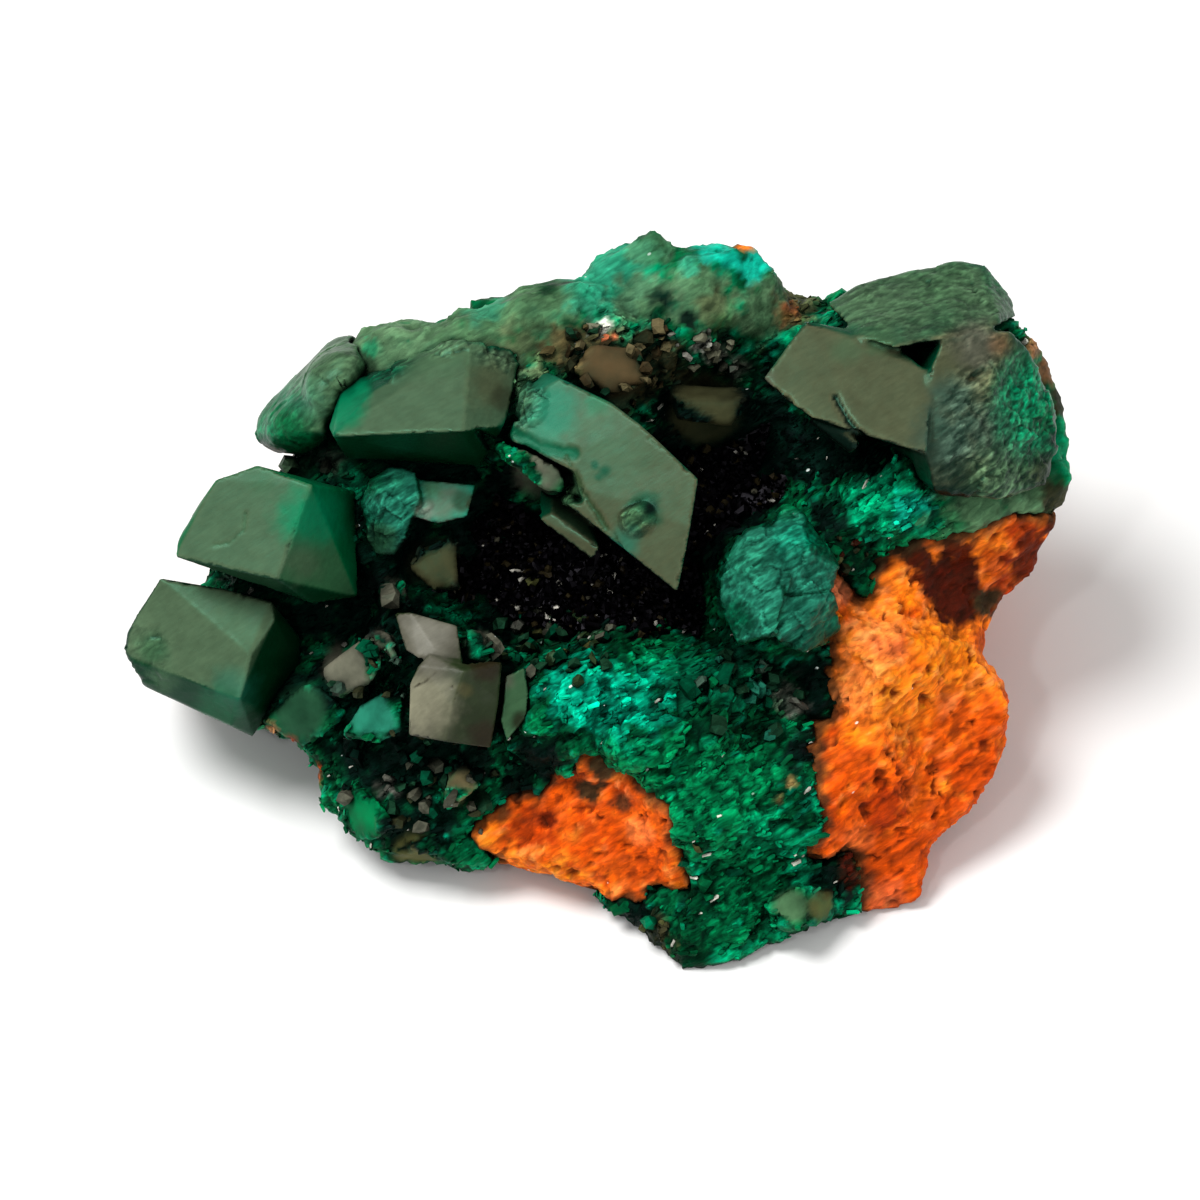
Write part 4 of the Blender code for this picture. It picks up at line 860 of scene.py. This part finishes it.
crystalLooks = {
    "roof_crystal": {
        "front": "faceGreen", "side": "bottle", "under": "deepGreen", "voxel": 0.14,
        "rough": [(-10, 17.4, 2.2), (-13.5, 15.6, 2), (-6, 16.2, 2)], "worn": 6,
        "spots": [
            (-15.9, 12, 1.06, "emerald", 0.95), (-16.9, 10.9, 0.75, "emerald", 0.8),
            (-14.9, 13.2, 0.5, "emerald", 0.9), (-9.4, 15.9, 1.5, "moss", 0.8),
            (-11.2, 15.5, 1.25, "moss", 0.6), (-6.9, 13.4, 1.12, "brown", 0.45),
            (-14.2, 15.9, 0.56, "emerald", 0.6), (-12, 15.5, 0.38, "sage", 0.9),
            (-5.9, 12.5, 0.75, "umber", 0.4),
        ],
    },
    "left_lobe_crystal": {
        "front": "moss", "side": "leaf", "under": "deepGreen", "voxel": 0.15,
        "rough": [(-18, 13, 6)], "worn": 30, "roughness": 0.25, "grain": 0.4,
        "swell": [(-16.2, 13.4, 2.2, 0.7), (-19, 10.5, 2, 0.3)],
        "spots": [
            (-17.5, 14.4, 1.88, "moss", 0.9), (-15.9, 15.9, 1.5, "moss", 0.9),
            (-18.8, 12.5, 1.12, "seaGreen", 0.6), (-19.7, 10.6, 1.38, "leaf", 0.95),
            (-20.9, 10.5, 0.75, "emerald", 0.6), (-21.1, 9.5, 0.62, "deepGreen", 0.6),
            (-16.6, 11.2, 0.62, "deepGreen", 0.5), (-18.8, 13.4, 0.75, "moss", 0.5),
        ],
    },
    "left_upper_crystal": {
        "front": "faceGreen", "side": "leaf", "under": "deepGreen", "voxel": 0.16,
        "rough": [(-28, 5.5, 2.6)], "worn": 9, "roughness": 0.2, "grain": 0.2,
        "spots": [
            (-22.8, 5, 1.62, "faceGreen", 0.4), (-21.1, 7.5, 0.75, "sage", 0.5),
            (-25, 5.9, 0.75, "faceGreen", 0.5), (-18.1, 5.2, 1.6, "emerald", 0.9),
            (-18.6, 2.4, 1, "faceGreen", 0.6),
        ],
    },
    "left_lower_crystal": {
        "front": "faceGreen", "side": "deepGreen", "under": "deepGreen", "voxel": 0.16,
        "rough": [(-29, -3.5, 2.2)], "worn": 9, "roughness": 0.3, "grain": 0.2, "shade": 0.66,
        "spots": [
            (-23.1, -5.6, 1.12, "verdigris", 0.5), (-28.1, -3.1, 0.88, "pine", 0.4),
            (-25.6, 0, 0.88, "faceGreen", 0.3), (-27.5, -5, 0.75, "moss", 0.5),
            (-22.4, 0.8, 1.6, "faceGreen", 0.9), (-24, -7, 1.2, "pine", 0.6),
        ],
    },
    "blade_crystal": {
        "front": "faceOlive", "side": "bottle", "under": "ink", "voxel": 0.14,
        "rough": [(-5.4, 12.4, 2), (2.3, 5, 1.1), (-1.9, 6.6, 0.6)], "worn": 4, "shade": 0.55,
        "swell": [(2.2, 4.9, 0.9, 0.45), (-1.9, 6.6, 0.6, 0.2)],
        "spots": [
            (-3.2, 12.2, 1.62, "seaGreen", 0.9), (-3.4, 10.5, 1.38, "seaGreen", 0.6),
            (-4.9, 12.6, 0.88, "moss", 0.6), (0, 10.6, 1.12, "moss", 0.5),
            (-0.2, 12.2, 0.62, "emerald", 0.5), (0.6, 9, 2, "faceGreen", 0.7),
            (-4.2, 8.8, 0.9, "stone", 0.9), (2.8, 5.5, 0.8, "bottle", 0.8),
            # The ink spot beside the knob at (3.2, 5.7) is painted shade
            (2.1, 4.9, 0.8, "sage", 0.9), (3.2, 5.7, 0.35, "ink", 1), (-0.3, 8.4, 0.22, "bottle", 0.6),
            (0.3, 8, 0.3, "bottle", 0.6), (-0.1, 7.6, 0.2, "bottle", 0.5),
            (1.6, 3.6, 0.8, "verdigris", 0.7),
            (3.4, 10, 0.62, "faceOlive", 0.5), (-1.9, 6.6, 0.69, "sage", 0.9),
        ],
    },
    "right_crystals": {
        "front": "faceOlive", "side": "bottle", "under": "ink", "voxel": 0.18,
        "rough": [
            (21, 19.2, 4, 0.5), (25, 18.5, 3, 0.5), (25.6, 11, 4.6), (24, 7.5, 3.4), (17, 19, 2.6, 0.5),
        ],
        "worn": 14, "roughness": 0.7, "grain": 0.9,
        "spots": [
            (18.8, 18.8, 2.12, "moss", 0.9), (16.2, 18.8, 1.5, "moss", 0.9),
            (21.6, 19.7, 1.75, "sage", 0.9), (24.1, 18.8, 1.62, "moss", 0.9),
            (25, 20, 0.75, "leaf", 0.6), (17.5, 16.2, 0.75, "sage", 0.7),
            (23.4, 15.9, 1.25, "stone", 0.9), (25, 15.9, 0.62, "clay", 0.5),
            (21.6, 10, 1.62, "slateGrey", 0.95), (21.9, 12.5, 1.25, "slateGrey", 0.9),
            (24.4, 10.6, 1.62, "slateGrey", 0.7), (27, 12.8, 1.9, "emerald", 1),
            (26.8, 10, 1.5, "emerald", 0.9), (27.8, 11.2, 0.75, "leaf", 0.7),
            (25, 7.5, 1.62, "moss", 0.9), (27.8, 8.1, 1, "umber", 0.6), (28.6, 10, 0.5, "ink", 0.7),
            (12.5, 14.2, 1.25, "faceOlive", 0.5), (15.3, 15.6, 0.75, "moss", 0.5),
            (10.3, 13.8, 0.5, "stone", 0.6),
        ],
    },
    "centre_crystal": {
        "front": "verdigris", "side": "bottle", "under": "deepGreen", "voxel": 0.13,
        "rough": [(11.5, 1, 6)], "worn": 5, "roughness": 0.6,
        "spots": [
            (10.6, 0.6, 1.62, "verdigris", 0.9), (9.1, 2.5, 1.25, "seaGreen", 0.6),
            (11.9, 3.8, 1, "teal", 0.5), (12.5, -1.6, 1, "verdigris", 0.7),
            (8.4, -1.2, 0.88, "bottle", 0.8), (13.8, 0.6, 0.75, "verdigris", 0.7),
            (10.9, -1.2, 0.62, "seaGreen", 0.7), (11.7, 5.8, 0.62, "leaf", 0.8),
            (13.8, -2.5, 0.5, "slate", 0.8),
        ],
    },
    "hollow_crystals": {
        "front": "verdigris", "side": "bottle", "under": "ink", "voxel": 0.13,
        "rough": [(-13.4, 5.6, 2.6)], "worn": 6, "roughness": 0.8, "shade": 0.85,
        "spots": [
            (-13.4, 6.2, 1.12, "verdigris", 0.9), (-14.2, 7.5, 0.75, "leaf", 0.6),
            (-12.8, 7.5, 0.56, "seaGreen", 0.9), (-13.8, 3.8, 0.75, "slate", 0.9),
            (-9.7, 6.2, 1, "stone", 0.9), (-10.5, 6.9, 0.5, "sage", 0.7),
            (-8.6, 6.2, 0.5, "umber", 0.8), (-10.9, 5.5, 0.5, "grey", 0.7),
        ],
    },
    "pale_crystals": {
        "front": "stone", "side": "oliveDark", "under": "ink", "voxel": 0.12,
        "rough": [], "worn": 1,
        "spots": [
            (-7.2, -6.6, 2.7, "oliveDark", 1), (-10.6, -2.2, 1.25, "paleGrey", 1),
            (-12.5, -2.5, 0.62, "stone", 0.8), (-11, -6.4, 1.6, "cream", 1),
            (-10.5, -4.1, 0.75, "stone", 0.7), (-7.1, -4.1, 0.75, "umber", 0.9),
            (-7.2, -8.4, 0.75, "umber", 0.8), (-8.4, -5.6, 0.38, "khaki", 0.7),
        ],
    },
    "slim_crystal": {
        "front": "sage", "side": "bottle", "under": "ink", "voxel": 0.12,
        "rough": [], "worn": 1,
        "spots": [
            (-5.5, -6.2, 1, "sage", 0.9), (-5.9, -5, 0.5, "stone", 0.8),
            (-5, -7.5, 0.44, "umber", 0.8),
        ],
    },
}
crystalFinish = {
    "centre_crystal": (tealMaterial, "teal_crystal"),
    "hollow_crystals": (tealMaterial, "teal_crystal"),
    "pale_crystals": (paleMaterial, "pale_crystal"),
}


def dressCrystal(node, look):
    fine = FineMesh(node + "_fine", node, look["voxel"], 0.6)
    rough = disc(fine, look["rough"])
    fine.roundOff(rough, look["worn"])
    lines = streakLines(fine.side, 2.4, 0.45, 5.0)
    grains = facetBumps(fine.inMm, 1.8, 0.22, 5.0) + facetBumps(fine.inMm, 0.6, 0.14, 8.0)
    fibres = streakLines(fine.side, 1.8, 0.28, 15.0)
    chips = smoothStep(0.3, 0.6, fractal(fine.inMm, 1.1, 23.0)) * smoothStep(0.01, 0.03, fine.crest())
    heights = rough * look.get("roughness", 1) * (grains + 0.06 * lines + 0.03 * fibres) - 0.15 * chips
    heights = heights + (1 - rough) * 0.02 * fractal(fine.inMm, 2.5, 6.0)
    for u, v, radius, height in look.get("swell", ()):
        heights = heights + height * disc(fine, [(u, v, radius)])
    colours = np.tile(asLinear(look["side"]), (len(fine.points), 1))
    # The front colour on faces turned to the viewer is partly the crystal's own etched grey-green and
    # partly a painted sheen; the under colour on faces turned down is painted shade
    colours = blendTo(colours, look["front"], smoothStep(0.58, 0.85, fine.lean[:, 2]))
    colours = blendTo(colours, look["under"], smoothStep(-0.25, -0.6, fine.lean[:, 1]))
    # Among these spots the emerald and sea-green ones are partly the crystal's own green and partly a
    # painted glow of light through it
    colours = paintSpots(colours, fine, look["spots"], 0.35, 0.35) * look.get("shade", 0.6)
    streaks = rough * look.get("grain", 0.7) * np.clip(1.3 * (lines + fibres), -0.7, 1.2)
    colours = colours * (1 + streaks)[:, None]
    fine.pushOut(heights)
    colours = carveCracks(fine, colours)
    # Painted shade and highlight: darker in cracks, lighter on ridges and edges
    colours = colours * (1 + np.clip(fine.crest() * 8, -0.6, 0.7))[:, None]
    finish = crystalFinish.get(node, (crystalMaterial, "green_crystal"))
    fine.finish(colours, 0.12 + look.get("grain", 0.7) * rough, *finish)


for node, look in crystalLooks.items():
    dressCrystal(node, look)


# The druse in the hollow: many small dark six-sided crystals on their bed, near black partly of their
# own and partly as painted shade that deepens the hollow

druseLook = {"count": 4200, "sizes": (0.16, 0.6), "paintedGlint": 0.014, "seed": 7}


def dressDruse(look):
    picker = np.random.default_rng(look["seed"])
    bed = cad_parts["hollow_druse"].data
    bed.calc_loop_triangles()
    corners = np.array([[bed.vertices[v].co for v in t.vertices] for t in bed.loop_triangles])
    across = np.cross(corners[:, 1] - corners[:, 0], corners[:, 2] - corners[:, 0])
    area = np.linalg.norm(across, axis=1)
    facing = (turnToSide(across / np.maximum(area, 1e-12)[:, None])[:, 2] > -0.3) * area
    chosen = picker.choice(len(corners), look["count"], p=facing / facing.sum())
    r, s = np.sqrt(picker.random(look["count"])), picker.random(look["count"])
    shares = np.stack([1 - r, r * (1 - s), r * s], axis=1)
    places = (corners[chosen] * shares[:, :, None]).sum(1)
    low, high = look["sizes"]
    widths = (low + (high - low) * picker.random(look["count"]) ** 3) * mm
    axes = across[chosen] / area[chosen][:, None] + picker.uniform(-0.7, 0.7, (look["count"], 3))
    points, faces = crystalCluster(
        places, axes, widths, widths * picker.uniform(0.8, 1.9, look["count"]), picker
    )
    bedPoints = readPoints(bed)
    bedFaces = [tuple(p.vertices) for p in bed.polygons]
    faces = bedFaces + [tuple(c + len(bedPoints) for c in face) for face in faces]
    shades = np.tile(asLinear("ink"), (look["count"], 1))
    rare = picker.random(look["count"])
    # Painted glints: the rare stone and white crystals stand in for highlights; the umber ones are their
    # own colour
    shades = blendTo(shades, "umber", (rare > 0.9) * 0.7)
    shades = blendTo(shades, "stone", (rare > 0.98) * 0.8)
    shades = blendTo(shades, "white", (rare > 1 - look["paintedGlint"]) * 0.9)
    # The bed is near black too, partly as painted shade in the hollow
    bedShades = np.tile(asLinear("ink"), (len(bedPoints), 1))
    colours = np.concatenate([bedShades, np.repeat(shades, clusterPoints, axis=0)])
    points = np.concatenate([bedPoints, points])
    facetedPiece("dark_druse", points, faces, colours, 0, druseMaterial, "hollow_druse", "dark_druse")


dressDruse(druseLook)


# Studio: pale floor, soft light, camera at the photo's angle

studio = {
    "floorColour": (0.88, 0.88, 0.87),
    "worldLight": 0.5,
    "key": ((-0.30, 0.02, 0.62), 0.34, 4.8),  # place from the middle, size and power
    "fill": ((0.45, -0.35, 0.35), 0.4, 0.8),
    "glint": ((-0.2, -0.45, 0.6), 0.05, 0.5),
    "cameraDistance": 0.625,
    "lens": 300,
}


def makeStudio(look):
    bm = bmesh.new()
    bmesh.ops.create_grid(bm, x_segments=1, y_segments=1, size=3.0)
    mesh = bpy.data.meshes.new("floor")
    bm.to_mesh(mesh)
    bm.free()
    floor = addObject("floor", mesh)
    material = bpy.data.materials.new("paleFloor")
    material.use_nodes = True
    shader = material.node_tree.nodes["Principled BSDF"]
    shader.inputs["Base Color"].default_value = (*look["floorColour"], 1)
    shader.inputs["Roughness"].default_value = 0.95
    shader.inputs["Specular IOR Level"].default_value = 0.1
    mesh.materials.append(material)
    world = bpy.data.worlds.new("studio")
    bpy.context.scene.world = world
    world.use_nodes = True
    background = world.node_tree.nodes["Background"]
    background.inputs["Color"].default_value = (1, 1, 1, 1)
    background.inputs["Strength"].default_value = look["worldLight"]
    middle = Vector(crystalSide["middle"]) * mm
    for name in ("key", "fill", "glint"):
        place, size, power = look[name]
        light = bpy.data.lights.new(name, "AREA")
        light.shape = "DISK"
        light.size = size
        light.energy = power
        lamp = addObject(name, light)
        lamp.location = middle + Vector(place)
        lamp.rotation_euler = (-Vector(place)).to_track_quat("-Z", "Y").to_euler()
    camera = bpy.data.cameras.new("photoCamera")
    camera.sensor_width = 36
    camera.lens = look["lens"]
    camera.clip_start = 0.01
    stand = addObject("photoCamera", camera)
    towards = Vector(towardsViewer)
    stand.location = middle + towards * look["cameraDistance"]
    stand.rotation_euler = (-towards).to_track_quat("-Z", "Y").to_euler()
    bpy.context.scene.camera = stand
    bpy.context.scene.view_settings.view_transform = "Standard"
    print("studio ready")


makeStudio(studio)
